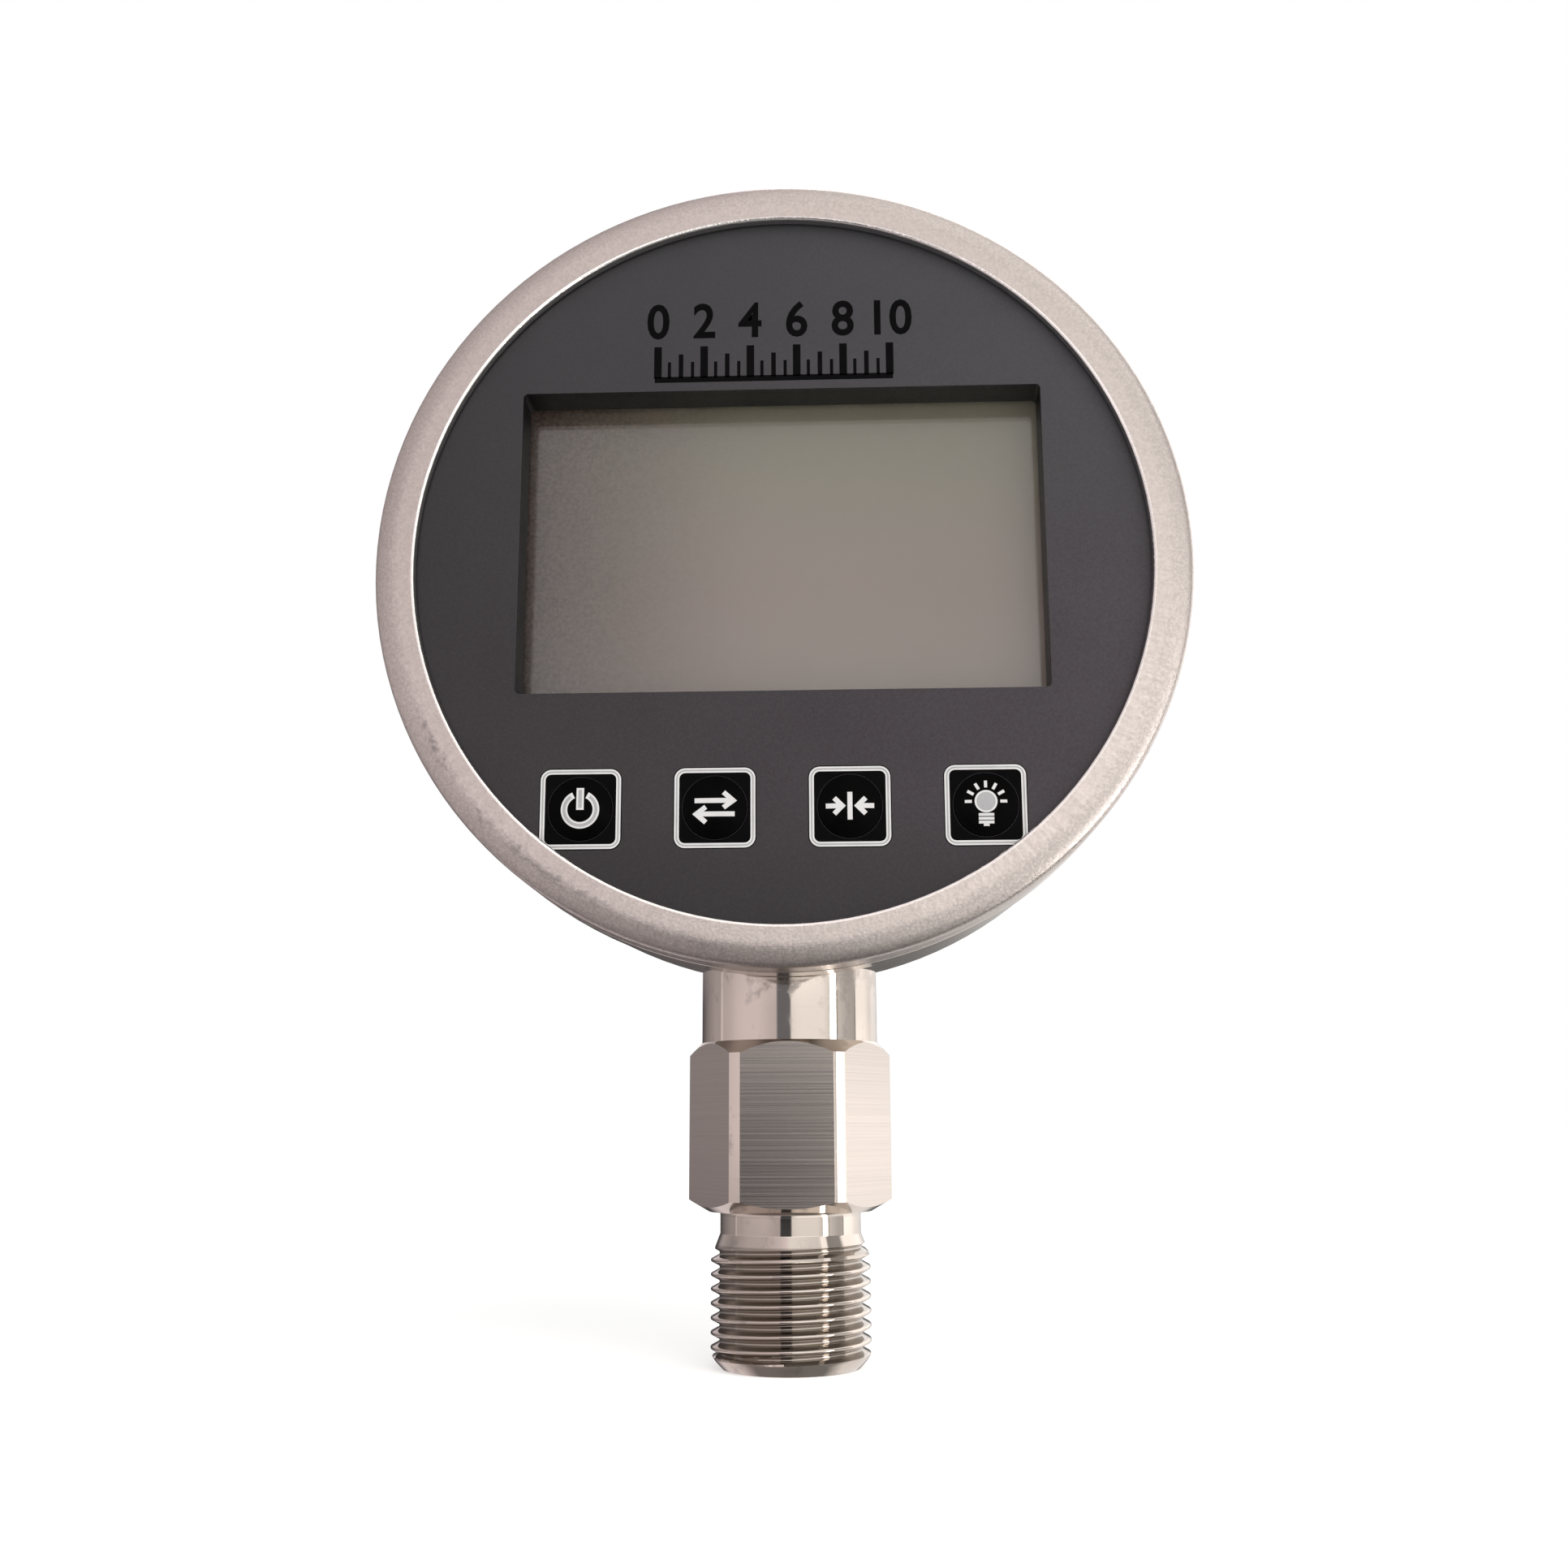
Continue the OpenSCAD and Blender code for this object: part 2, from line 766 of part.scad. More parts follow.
module battery_springs() {
    color("#b8b8bb") for (i = [0 : cell_count - 1]) at_cell(i)
        translate([plate_t - tray_in_w / 2, 0, 0]) rotate([0, 90, 0])
            cylinder(d1 = spring_wide_d, d2 = spring_tip_d, h = spring_h);
}

module battery_plates() {
    color("#c9c9cc") for (i = [0 : cell_count - 1], end = [-1, 1]) at_cell(i)
        translate([end * (tray_in_w - plate_t) / 2, 0, 0])
            cube([plate_t, plate_w, plate_w], center = true);
}

module battery_wires() {
    color("#2b2b2e") at_dial() translate(battery_plug_place) slab(connector_back, tray_front)
        for (side = [-1, 1]) translate([side * lead_pitch / 2, 0]) circle(d = lead_d);
}

module cover_gasket() {
    color("#151516") at_dial() slab(case_depth, cover_front) difference() {
        circle(cover_r);
        plate(tray_in_w, tray_in_h, tray_wall);
        post_holes();
    }
}

module back_cover() {
    rim_back = cover_front + cover_rim_t;
    centre_r = cover_r - cover_rim_w;
    color("#1c1c1f") at_dial() difference() {
        turned(concat(
            [[0, cover_front], [cover_r, cover_front]],
            arc([cover_r - cover_edge, rim_back - cover_edge], cover_edge, 0, 90),
            [[centre_r, rim_back]],
            arc([centre_r - cover_edge, cover_back - cover_edge], cover_edge, 0, 90),
            [[0, cover_back]]));
        slab(cover_front - cut, cover_back + cut) post_holes();
        slab(rim_back - cover_head_t, cover_back + cut) for (p = post_places) translate(p)
            circle(cover_head_d / 2 + cover_head_gap);
    }
}

module cover_screws() {
    head_front = cover_front + cover_rim_t - cover_head_t;
    color("#c3c3c6") at_dial() for (p = post_places) translate(p) difference() {
        union() {
            slab(head_front - cover_screw_len, head_front) circle(cover_screw_d / 2);
            slab(head_front, head_front + cover_head_t) circle(cover_head_d / 2);
        }
        slab(head_front + cover_head_t - cover_socket_deep, head_front + cover_head_t + cut)
            circle(cover_socket_d / 2, $fn = hex_sides);
    }
}

bezel_ring();
lip_seal();
face_overlay();
front_panel();
panel_gasket();
window_lens();
lcd_glass();
lcd_holder();
light_guide();
backlight_leds();
contact_strips();
main_board();
microcontroller();
measuring_chip();
sensor_connector();
battery_connector();
board_screws();
tact_switches();
key_power();
key_unit();
key_zero();
key_light();
plunger_power();
plunger_unit();
plunger_zero();
plunger_light();
case_body();
stem();
stem_washer();
stem_nut();
sensor_cell();
sensor_oring();
sensor_retainer();
sensor_pins();
sensor_wires();
battery_tray();
battery_cell_1();
battery_cell_2();
battery_cell_3();
battery_springs();
battery_plates();
battery_wires();
cover_gasket();
back_cover();
cover_screws();
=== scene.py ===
import functools
import math

import bmesh
import bpy
import numpy as np
from mathutils import Matrix, Vector


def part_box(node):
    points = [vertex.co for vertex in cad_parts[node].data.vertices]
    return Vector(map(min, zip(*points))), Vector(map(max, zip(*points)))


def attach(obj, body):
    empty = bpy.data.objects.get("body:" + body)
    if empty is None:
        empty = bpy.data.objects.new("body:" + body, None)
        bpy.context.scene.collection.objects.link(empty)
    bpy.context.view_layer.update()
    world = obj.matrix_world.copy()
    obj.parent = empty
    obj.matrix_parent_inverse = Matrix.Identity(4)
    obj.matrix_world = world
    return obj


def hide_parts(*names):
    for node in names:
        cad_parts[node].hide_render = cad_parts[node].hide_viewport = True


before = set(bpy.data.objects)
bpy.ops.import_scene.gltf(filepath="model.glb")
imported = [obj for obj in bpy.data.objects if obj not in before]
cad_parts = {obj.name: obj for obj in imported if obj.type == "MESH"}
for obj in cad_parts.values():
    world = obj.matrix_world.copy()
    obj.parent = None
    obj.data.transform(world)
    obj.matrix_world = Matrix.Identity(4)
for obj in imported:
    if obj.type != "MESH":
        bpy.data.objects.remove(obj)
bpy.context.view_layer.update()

bl_info = {
    "name": "Digital pressure gauge",
    "version": (1, 0, 0),
    "blender": (4, 5, 0),
    "location": "View3D > Sidebar > Gauge",
    "description": "Dresses the packed gauge with its thread, prints, finishes and a small studio",
    "category": "Object",
}

MM = 0.001
FULL_TURN = 2 * math.pi

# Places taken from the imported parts, in metres. The dial faces -Y and the stem stands on z = 0.
BEZEL_LOW, BEZEL_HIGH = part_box("bezel_ring")
DIAL_CENTRE = (BEZEL_LOW + BEZEL_HIGH) / 2
FILM_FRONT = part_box("face_overlay")[0].y
FILM_R = 47 * MM
KEY_NODES = ("key_power", "key_unit", "key_zero", "key_light")
KEY_BODIES = ("power_key", "unit_key", "zero_key", "light_key")


def length(name, description, default_mm):
    return bpy.props.FloatProperty(
        name=name, description=description, default=default_mm * MM, min=0.0,
        unit="LENGTH", subtype="DISTANCE", precision=5)


def colour(name, description, default):
    return bpy.props.FloatVectorProperty(
        name=name, description=description, default=linear(default),
        size=3, min=0.0, max=1.0, subtype="COLOR")


def linear(code):
    """Turns an sRGB hex colour into three linear numbers."""
    srgb = np.array([int(code[i:i + 2], 16) for i in (1, 3, 5)]) / 255
    return tuple(np.where(srgb <= 0.04045, srgb / 12.92, ((srgb + 0.055) / 1.055) ** 2.4))


class GaugeStemSizes(bpy.types.PropertyGroup):
    thread_r: length("Thread radius", "Outside radius of the pipe thread", 10.4775)
    pitch: length("Thread pitch", "Distance from one crest to the next", 1.814)
    thread_depth: length("Thread depth", "From crest to root", 1.162)
    crest_at: length("Crest height", "Height of a crest's middle on the left of the stem", 13.5)
    end_r: length("End radius", "Radius of the stem's flat end inside its chamfer", 8.9)
    end_chamfer: length("End chamfer", "Height of the rounded chamfer at the stem's end", 2.4)
    groove_end: length("Groove end", "Height over which the thread's groove is cut", 1.5)
    lead_z: length("Lead height", "Where the last groove meets the lead cone", 15.62)
    lead_r: length("Lead radius", "Radius of the lead cone there", 9.75)
    relief_z: length("Relief start", "Height at which the plain relief begins", 16.9)
    relief_r: length("Relief radius", "Radius of the plain relief", 9.25)
    hex_low: length("Hexagon start", "Height of the hexagon's lower face", 19.7)
    hex_high: length("Hexagon end", "Height of the hexagon's upper edge", 41.5)
    hex_half: length("Half across flats", "From the axis to a flat", 12.0)
    corner_r: length("Corner radius", "Radius of the turned corners", 13.4)
    face_r: length("Face radius", "Radius of the hexagon's lower face inside its chamfer", 10.8)
    neck_r: length("Neck radius", "Radius of the round neck", 11.75)
    shoulder: length("Shoulder", "Height of the flat shoulder at the case", 50.9)
    case_r: length("Case radius", "Radius of the case that the neck meets", 51.5)
    spigot_r: length("Spigot radius", "Radius of the part inside the case", 9.0)
    top: length("Top", "Height of the stem's upper end inside the case", 58.9)
    seat_r: length("Seat radius", "Radius of the sensor's seat", 7.55)
    seat_z: length("Seat height", "Height of the floor of the sensor's seat", 42.9)
    port_r: length("Port radius", "Radius of the pressure port", 3.0)


class GaugePrintSizes(bpy.types.PropertyGroup):
    frame_half: length("Frame half width", "Half the outside width of a key's white frame", 5.06)
    frame_line: length("Frame line", "Width of the frame's line", 0.6)
    frame_corner: length("Frame corner", "Outside corner radius of the frame", 1.35)
    print_reach: length("Print reach", "Largest distance of a print from the dial's centre", 47.6)
    hole_r: length("Key hole", "Radius of the hole that a print leaves round a key", 4.08)
    ink: length("Ink", "Height of the ink above the film", 0.02)
    key_r: length("Key radius", "Radius of a key's cap", 3.95)
    dome: length("Dome", "Rise of a key's middle over its rim", 0.25)
    symbol_line: length("Symbol line", "Width of a symbol's strokes", 0.62)
    scale_left: length("Scale left", "Reach of the printed scale to the left of the middle", 16.6)
    scale_width: length("Scale width", "Width of the printed scale", 31.4)
    scale_base: length("Scale base", "Height of the scale's line over the dial's centre", 25.1)
    numeral: length("Numeral", "Height of the numbers", 5.0)


class GaugeColours(bpy.types.PropertyGroup):
    blasted: colour("Bezel", "Blasted stainless steel", "#CDC4BE")
    # This dull colour is also laid on the bezel's crown as painted shade.
    blasted_dark: colour("Bezel, dull", "The same steel where it is scuffed", "#96908E")
    # The lip edge's colour is a painted highlight, brighter than the steel around it.
    cut: colour("Lip edge", "The same steel where it is freshly cut", "#F3F0EC")
    polished: colour("Case", "Polished stainless steel", "#C9BFB5")
    turned: colour("Stem", "Turned stainless steel", "#C9BFB6")
    # This colour is painted shade in the thread's grooves.
    groove: colour("Thread groove", "The same steel in the cut grooves, dulled by cutting oil", "#A59D95")
    film_low: colour("Film, lower", "Printed film towards the keys", "#272025")
    film_high: colour("Film, upper", "Printed film towards the top", "#2A2A2D")
    display: colour("Display", "Display without power", "#AD9A92")
    display_top: colour("Display, upper", "Display towards its upper edge", "#9C9684")
    # Painted shade: the display's colour towards its left edge.
    display_dim: colour("Display, dim", "Display towards its left edge", "#554037")
    ink_white: colour("White ink", "Frames and symbols", "#E9E9E9")
    ink_black: colour("Black ink", "Scale and key fields", "#060607")
    key: colour("Key", "Gloss key caps", "#040404")
    floor: colour("Floor", "Studio floor", "#F6F6F6")


# The tones that steel mirrors, as (azimuth from the front to the right in degrees, tone): at the horizon,
# over it and high up. Close pairs are the edges of cards and windows.
HORIZON = (
    (-180, 0.5), (-179, 0.5), (-175.5, 0.15), (-165, 0.09), (-155, 0.11), (-140, 0.25), (-129, 0.38),
    (-119, 0.48), (-111, 0.56), (-104, 0.57), (-99.4, 0.55), (-99, 0.95), (-95.4, 0.95), (-95, 0.71),
    (-85, 0.75), (-79, 0.81), (-70, 0.93), (-58, 1.0), (-40, 1.0), (-31, 0.92), (-22, 0.83), (-16, 0.79),
    (2.8, 1.2), (12, 1.33), (20, 1.36), (46, 1.36), (51, 1.22), (54.6, 1.1), (54.8, 0.3), (55.3, 0.3),
    (55.5, 3.6), (65, 3.6), (65.3, 0.15), (66.7, 0.15), (67, 0.9), (71, 0.92), (76, 0.82), (87, 0.68),
    (93, 0.72), (96.4, 0.75), (96.6, 0.3), (97.6, 0.3), (98, 2.25), (108, 2.25), (118, 2.15), (135, 1.45),
    (166, 0.9), (171, 0.22), (176, 0.15), (179, 0.5), (180, 0.5))
SKY = (
    (-180, 1.2), (-150, 0.6), (-110, 0.42), (-75, 0.66), (-50, 0.7), (-30, 0.74), (-17, 0.8), (0, 1.22),
    (14, 1.1), (30, 1.0), (55.3, 1.0), (55.5, 1.6), (65, 1.6), (68, 0.4), (92, 0.45), (99, 1.7),
    (150, 1.8), (180, 1.2))
HIGH = (
    (-180, 3.4), (-165, 0.5), (-150, 0.42), (-108, 0.5), (-106, 0.28), (-101, 0.28), (-99, 0.6),
    (-63, 0.72), (-35, 0.87), (-8, 1.06), (4, 1.25), (25, 1.35), (50, 1.25), (55.5, 1.9), (65, 1.9),
    (68, 0.45), (90, 0.5), (95, 1.6), (130, 1.7), (165, 3.0), (180, 3.4))
# The tones before the gauge a little below the horizon, and further below it.
LOW = ((2, 0.85), (14, 1.8), (55.3, 1.8), (55.5, 14.0), (65, 14.0), (65.3, 0.9), (75, 1.4))
FOOT = ((55.3, 0.42), (55.5, 3.0), (65, 3.0), (65.3, 0.42))
# What multiplies the horizon's tone below it and over it, and the sky's tone just over the horizon.
FALL = (
    (-180, 0.9), (-150, 0.84), (-127, 0.74), (-98, 0.74), (-92, 0.8), (-60, 0.63), (-40, 0.68), (-3, 0.74),
    (3, 0.84), (55, 0.84), (57, 1.0), (96, 1.0), (98, 0.77), (125, 0.77), (140, 0.95), (180, 0.95))
RISE = ((90, 1.0), (98, 0.7), (130, 0.7), (140, 1.0))
GLOW = ((-60, 1.0), (-25, 1.65), (-8, 2.35), (20, 2.5), (40, 2.3), (55, 1.3), (75, 1.0))
# The dark card before the gauge: where it begins and ends with its soft edges, by azimuth and by height over
# the horizon, and (height, tone).
CARD_ACROSS = (-15.4, -13.4, 2.4, 4.6)
CARD_UP = (-30, -23, 9.5, 11.5)
CARD_TONES = ((-12, 0.09), (-6, 0.14), (-3, 0.12), (-1.5, 0.05), (0, 0.07), (3, 0.18), (6, 0.24))
# Heights at which the dome has further rows of points, so that its blends and the dark card stay sharp.
MORE_ROWS = (-24, -23, -20, -12, -6, -3, -1.5, 0, 3, 6, 9.5, 11.5, 39, 55, 78)
DOME_R = 0.9

# Distances from the dial's axis on the bezel: the lip's cut edge with its painted highlight, the soft start
# of the crown's painted shade, and the ring of scuffs with its soft inner and outer side.
LIP_EDGE_HIGHLIGHT = (47.45 * MM, 47.65 * MM)
CROWN_SHADE = (50.0 * MM, 50.5 * MM)
SCUFF_R = 49.6 * MM
SCUFFS_IN = (50.0 * MM, 50.7 * MM)
SCUFFS_OUT = (50.9 * MM, 51.8 * MM)
# The scuffs: angle round the dial from its right, and reach.
SCUFFS = ((233, 7 * MM), (240, 6 * MM), (209, 6 * MM), (222, 2.5 * MM))

# The printed scale: distance of the outer marks from the line's ends, and of the numbers' feet from the
# line; (height, width) in mm of each fourth, each second and every other mark.
MARK_INSET = 0.4 * MM
NUMBERS_UP = 6.0 * MM
LONG_MARK, MIDDLE_MARK, SHORT_MARK = (4.7, 1.0), (3.6, 0.6), (2.5, 0.42)
# The font at size 1: height of its figures, how much narrower they are set, and how much bolder.
FIGURE, NARROW, BOLDER = 0.73, 0.9, 0.02

# The rims of the keys' frames: points round one, the dark field's margin, and where the grey core of the
# line begins and ends, as shares of its width. Least points along a stroke on a key.
FRAME_POINTS = 193
FIELD_MARGIN = 0.13 * MM
CORE_FROM, CORE_TO = 0.34, 0.66
STROKE_POINTS = 24

# The studio: the world's strength on the object, the floor's own white towards the camera, and the lamp's
# place and sizes in metres and its power in watts.
WORLD_STRENGTH, FLOOR_GLOW = 0.6, 0.48
LAMP_PLACE, LAMP_SIZE, LAMP_POWER = (0.45, -0.9, 1.0), (1.2, 0.9), 9.0
# The camera: its sensor's width in mm, its focal distance and the photograph's width in pixels, its place in
# metres, and the directions of its view and of its right side.
SENSOR, FOCAL_PIXELS, PHOTO_PIXELS = 36.0, 2000, 1932
CAMERA_PLACE = (7.161 * MM, -221.331 * MM, 30.352 * MM)
CAMERA_AHEAD, CAMERA_RIGHT = (-0.034262, 0.977666, 0.207355), (0.999343, 0.035968, -0.004462)


# --- meshes -----------------------------------------------------------------

def placed(name, data):
    """Links a new object with the given data."""
    made = bpy.data.objects.new(name, data)
    bpy.context.scene.collection.objects.link(made)
    return made


def mesh_of(name, points, faces):
    """Makes a mesh of an array of points and a list of faces, each a list of point numbers."""
    mesh = bpy.data.meshes.new(name)
    mesh.from_pydata(points.tolist(), [], faces)
    return mesh


def cells(grid, start=0):
    """The point numbers of a grid's four-sided cells, counted from start."""
    index = start + np.arange(grid[..., 0].size).reshape(grid.shape[:2])
    return np.stack([index[:-1, :-1], index[:-1, 1:], index[1:, 1:], index[1:, :-1]], -1).reshape(-1, 4)


def surface(name, grids):
    """Puts grids of points into one mesh. A grid is an array (rows, columns, 3); each of its cells is a
    four-sided face. Points that meet are merged, which closes seams and poles, and faces turn outwards."""
    starts = np.cumsum([0] + [grid[..., 0].size for grid in grids])
    quads = np.concatenate([cells(grid, start) for grid, start in zip(grids, starts)])
    points = np.concatenate([grid.reshape(-1, 3) for grid in grids])
    return finished(name, mesh_of(name, points, quads.tolist()), 25.0)


def finished(name, mesh, sharp):
    """Merges a mesh's doubles, turns its faces outwards, shades it and links its object."""
    work = bmesh.new()
    work.from_mesh(mesh)
    bmesh.ops.remove_doubles(work, verts=work.verts, dist=0.0005 * MM)
    bmesh.ops.dissolve_degenerate(work, edges=work.edges, dist=0.0004 * MM)
    bmesh.ops.recalc_face_normals(work, faces=work.faces)
    work.to_mesh(mesh)
    work.free()
    mesh.shade_smooth()
    mesh.set_sharp_from_angle(angle=math.radians(sharp))
    return placed(name, mesh)


def lay(flat, centre, front, ink, dome=None):
    """Lays drawn points on the dial. flat is (rows, columns, 3) with x right, y up and the row's share of
    the ink's height; the result stands at front - height, and on a dome it falls with the square of the
    distance from the middle."""
    sag = 0.0 if dome is None else dome[0] * (flat[..., 0] ** 2 + flat[..., 1] ** 2) / dome[1] ** 2
    return np.stack([centre[0] + flat[..., 0], front + sag - flat[..., 2] * ink,
                     centre[1] + flat[..., 1]], -1)


def raised(*rows):
    """Stacks rows of drawn points, each with its share of the ink's height."""
    return np.stack([np.column_stack([points, np.full(len(points), share)]) for points, share in rows])


def band_between(outer, inner):
    """A closed flat band between two lines with the same number of points."""
    return raised((outer, 1), (inner, 1), (inner, -1), (outer, -1), (outer, 1))


def stroke(path, width, closed=False):
    """A drawn line as a closed flat bar: its four corners carried along the path, mitred at each bend.
    Ends of an open path are closed on the path's own end points."""
    step = np.diff(np.vstack([path, path[:1]]) if closed else path, axis=0)
    step = step / np.linalg.norm(step, axis=1, keepdims=True)
    before = np.roll(step, 1, 0) if closed else np.vstack([step[:1], step])
    after = step if closed else np.vstack([step, step[-1:]])
    along = before + after
    along = along / np.linalg.norm(along, axis=1, keepdims=True)
    half = width / 2 / np.sum(along * after, axis=1)
    side = np.stack([-along[:, 1], along[:, 0]], -1) * half[:, None]
    rows = band_between(path + side, path - side)
    if closed:
        return np.concatenate([rows, rows[:, :1]], axis=1)
    ends = [np.tile(np.append(path[i], 0.0), (len(rows), 1))[:, None] for i in (0, -1)]
    return np.concatenate([ends[0], rows, ends[1]], axis=1)


def bar(width, *points, flip=(1, 1)):
    """A straight or bent stroke through points in mm, mirrored where flip is negative."""
    return stroke(np.array(points) * flip * MM, width)


def disc(centre, radius, steps=48):
    """A flat round spot: middle, front edge, back edge and middle again, carried round the circle."""
    ring = np.asarray(centre) + circle(np.linspace(0, FULL_TURN, steps + 1)) * radius
    middle = np.broadcast_to(centre, ring.shape)
    return raised((middle, 1), (ring, 1), (ring, -1), (middle, -1))


def circle(turn):
    """Points of the unit circle at the given angles."""
    return np.stack([np.cos(turn), np.sin(turn)], -1)


def round_square(half, corner, turn):
    """Points of a rounded square at the given angles: the distance along each ray to the square's
    side, or to its corner's arc where the ray meets that."""
    x, y = np.abs(np.cos(turn)), np.abs(np.sin(turn))
    side = half / np.maximum(x, y)
    middle = half - corner
    ahead = middle * (x + y)
    arc = ahead + np.sqrt(np.maximum(ahead ** 2 - 2 * middle ** 2 + corner ** 2, 0))
    at_corner = np.minimum(x, y) * side > middle
    return circle(turn) * np.where(at_corner, arc, side)[:, None]


def arc_path(centre, radius, start, end, steps):
    """Points on an arc, angles in degrees from the right, counted to the left."""
    return np.asarray(centre) + radius * circle(np.radians(np.linspace(start, end, steps)))


def fine(grid):
    """Adds points along a stroke with few of them, in even steps between its own, so that it can follow a
    key's dome."""
    columns = grid.shape[1]
    if columns > STROKE_POINTS:
        return grid
    at = np.linspace(0, columns - 1, (columns - 1) * math.ceil(STROKE_POINTS / columns) + 1)
    low = np.minimum(at.astype(int), columns - 2)
    part = (at - low)[None, :, None]
    return grid[:, low] * (1 - part) + grid[:, low + 1] * part


def stem_grid(s):
    """The whole stem as one grid round its axis. Each row is a radius and a height at every angle, from
    the port's lower edge out over the end, up the outside, over the top and down inside again. The
    thread's rows climb by one pitch a turn, so they follow its crests and roots, and they are held
    between the stem's end and the relief; near both the groove fades out. The hexagon's rows follow the
    curves in which its flats meet the two chamfers, and the neck's upper row follows the case's wall."""
    flat_edge = math.acos(s.hex_half / s.corner_r)
    sixth = math.pi / 3
    offset = np.concatenate([np.linspace(0, flat_edge, 16)[:-1],
                             np.linspace(flat_edge, sixth - flat_edge, 7)[:-1],
                             np.linspace(sixth - flat_edge, sixth, 16)[:-1]])
    turned = np.append((np.arange(6)[:, None] * sixth + offset).ravel(), FULL_TURN)
    angle = turned + math.pi / 2
    nearest = np.mod(turned + sixth / 2, sixth) - sixth / 2
    flat_r = np.minimum(s.hex_half / np.cos(nearest), s.corner_r)
    one = np.ones_like(angle)

    # One pitch of the pipe thread: round crest, straight flank at 27.5 degrees, round root.
    round_r = 0.1373 * s.pitch
    bend = np.radians(np.linspace(0, 62.5, 4))
    rise, drop = round_r * np.sin(bend), round_r * (1 - np.cos(bend))
    half_z = np.concatenate([rise, [s.pitch / 4], (s.pitch / 2 - rise)[::-1]])
    half_r = s.thread_r - np.concatenate([drop, [s.thread_depth / 2], (s.thread_depth - drop)[::-1]])
    pitch_z = np.concatenate([half_z, s.pitch - half_z[-2:0:-1]])
    pitch_r = np.concatenate([half_r, half_r[-2:0:-1]])
    turns = np.arange(-2, math.ceil(s.lead_z / s.pitch) + 1)
    first_crest = np.mod(s.crest_at - s.pitch / 4, s.pitch)
    row_z = (first_crest + turns[:, None] * s.pitch + pitch_z).ravel()
    row_r = np.tile(pitch_r, len(turns))
    z = np.clip(row_z[:, None] + s.pitch * turned / FULL_TURN, 0, s.lead_z)
    over_end = np.clip(z / s.end_chamfer, 0, 1)
    chamfer = s.end_r + (s.thread_r - s.end_r) * np.sin(over_end * math.pi / 2)
    slope = (s.lead_r - s.relief_r) / (s.relief_z - s.lead_z)
    cone = s.lead_r + (s.lead_z - z) * slope
    # The groove rises to the surface by these slopes, radius over height, at its upper and lower end.
    fade_high, fade_low = 1.9, 2.5
    runout = np.maximum(s.lead_r - (s.lead_z - z) * fade_high, s.thread_r - (z - s.groove_end) * fade_low)
    r = np.minimum(np.maximum(np.minimum(row_r[:, None] * one, cone), runout), chamfer)

    def saddle(radius):
        across = radius * np.cos(angle)
        return np.minimum(s.shoulder, DIAL_CENTRE.z - np.sqrt(s.case_r ** 2 - across ** 2))

    low = s.hex_low + (flat_r - s.face_r) * math.tan(math.radians(30))
    high = s.hex_high - (flat_r - s.neck_r)
    fillet = 0.2 * MM
    ease = 0.3 * fillet
    half_way = (s.neck_r + s.spigot_r) / 2
    above = [(s.lead_r, s.lead_z), (s.lead_r - slope * ease, s.lead_z + ease),
             (s.relief_r + slope * ease, s.relief_z - ease), (s.relief_r, s.relief_z),
             (s.relief_r, s.relief_z + ease), (s.relief_r, s.hex_low - 3 * fillet),
             (s.relief_r, s.hex_low - 2 * fillet), (s.relief_r + ease, s.hex_low - 0.8 * fillet),
             (s.relief_r + fillet, s.hex_low), (s.face_r, s.hex_low), (flat_r, low), (flat_r, high),
             (s.neck_r, s.hex_high), (s.neck_r, s.hex_high + fillet), (s.neck_r, saddle(s.neck_r)),
             (half_way, saddle(half_way)), (s.spigot_r, saddle(s.spigot_r)), (s.spigot_r, s.top),
             (s.seat_r, s.top), (s.seat_r, s.seat_z), (s.port_r, s.seat_z), (s.port_r, 0)]
    r = np.concatenate([[s.port_r * one], r, [a * one for a, _ in above]])
    z = np.concatenate([[0 * one], z, [b * one for _, b in above]])
    return np.stack([r * np.cos(angle), r * np.sin(angle), z], -1)


# --- materials --------------------------------------------------------------

# A pixel of the picture is about 0.1 mm wide on the dial. Where a comment takes a grain to be finer, its
# real size wasn't measured.
# Noise lies mostly between these two values. A soft range eases in and out.
SPAN = (0.3, 0.7)
SOFT = {"interpolation_type": "SMOOTHSTEP"}


def add(tree, kind, sockets=(), **settings):
    """Adds a node with its settings; its operation, if it has one, follows its kind. A socket takes a number,
    a colour, an output, or a node, which stands for its first open output. Sockets without names are
    counted from the first."""
    kind, *operation = kind.split()
    made = tree.nodes.new("ShaderNode" + kind)
    for name, value in settings.items():
        setattr(made, name, value)
    if operation:
        made.operation = operation[0]
    for name, value in sockets.items() if isinstance(sockets, dict) else enumerate(sockets):
        if isinstance(value, bpy.types.Node):
            value = next(output for output in value.outputs if output.enabled)
        if isinstance(value, bpy.types.NodeSocket):
            tree.links.new(value, made.inputs[name])
        else:
            made.inputs[name].default_value = value
    return made


def nodes_for(owner):
    """Empties the tree of a material or a world, and gives the function that adds a node to it."""
    owner.use_nodes = True
    owner.node_tree.nodes.clear()
    return functools.partial(add, owner.node_tree)


def begin(name):
    """Starts a material: itself, the function that adds a node, and the object's own coordinates."""
    made = bpy.data.materials.new(name)
    node = nodes_for(made)
    return made, node, node("TexCoord").outputs["Object"]


def end(made, sockets):
    """Ends a material with its shader, whose values are given, and the output."""
    add(made.node_tree, "OutputMaterial", (add(made.node_tree, "BsdfPrincipled", sockets),))
    return made


def rgba(tone, share=1.0):
    return (*(share * v for v in tone[:3]), 1.0)


def coated(node, tone, *coats):
    """Lays coats over a tone, each with the factor by which it covers what is under it."""
    for factor, coat in coats:
        tone = node("Mix", {0: factor, 6: tone, 7: coat}, data_type="RGBA")
    return tone


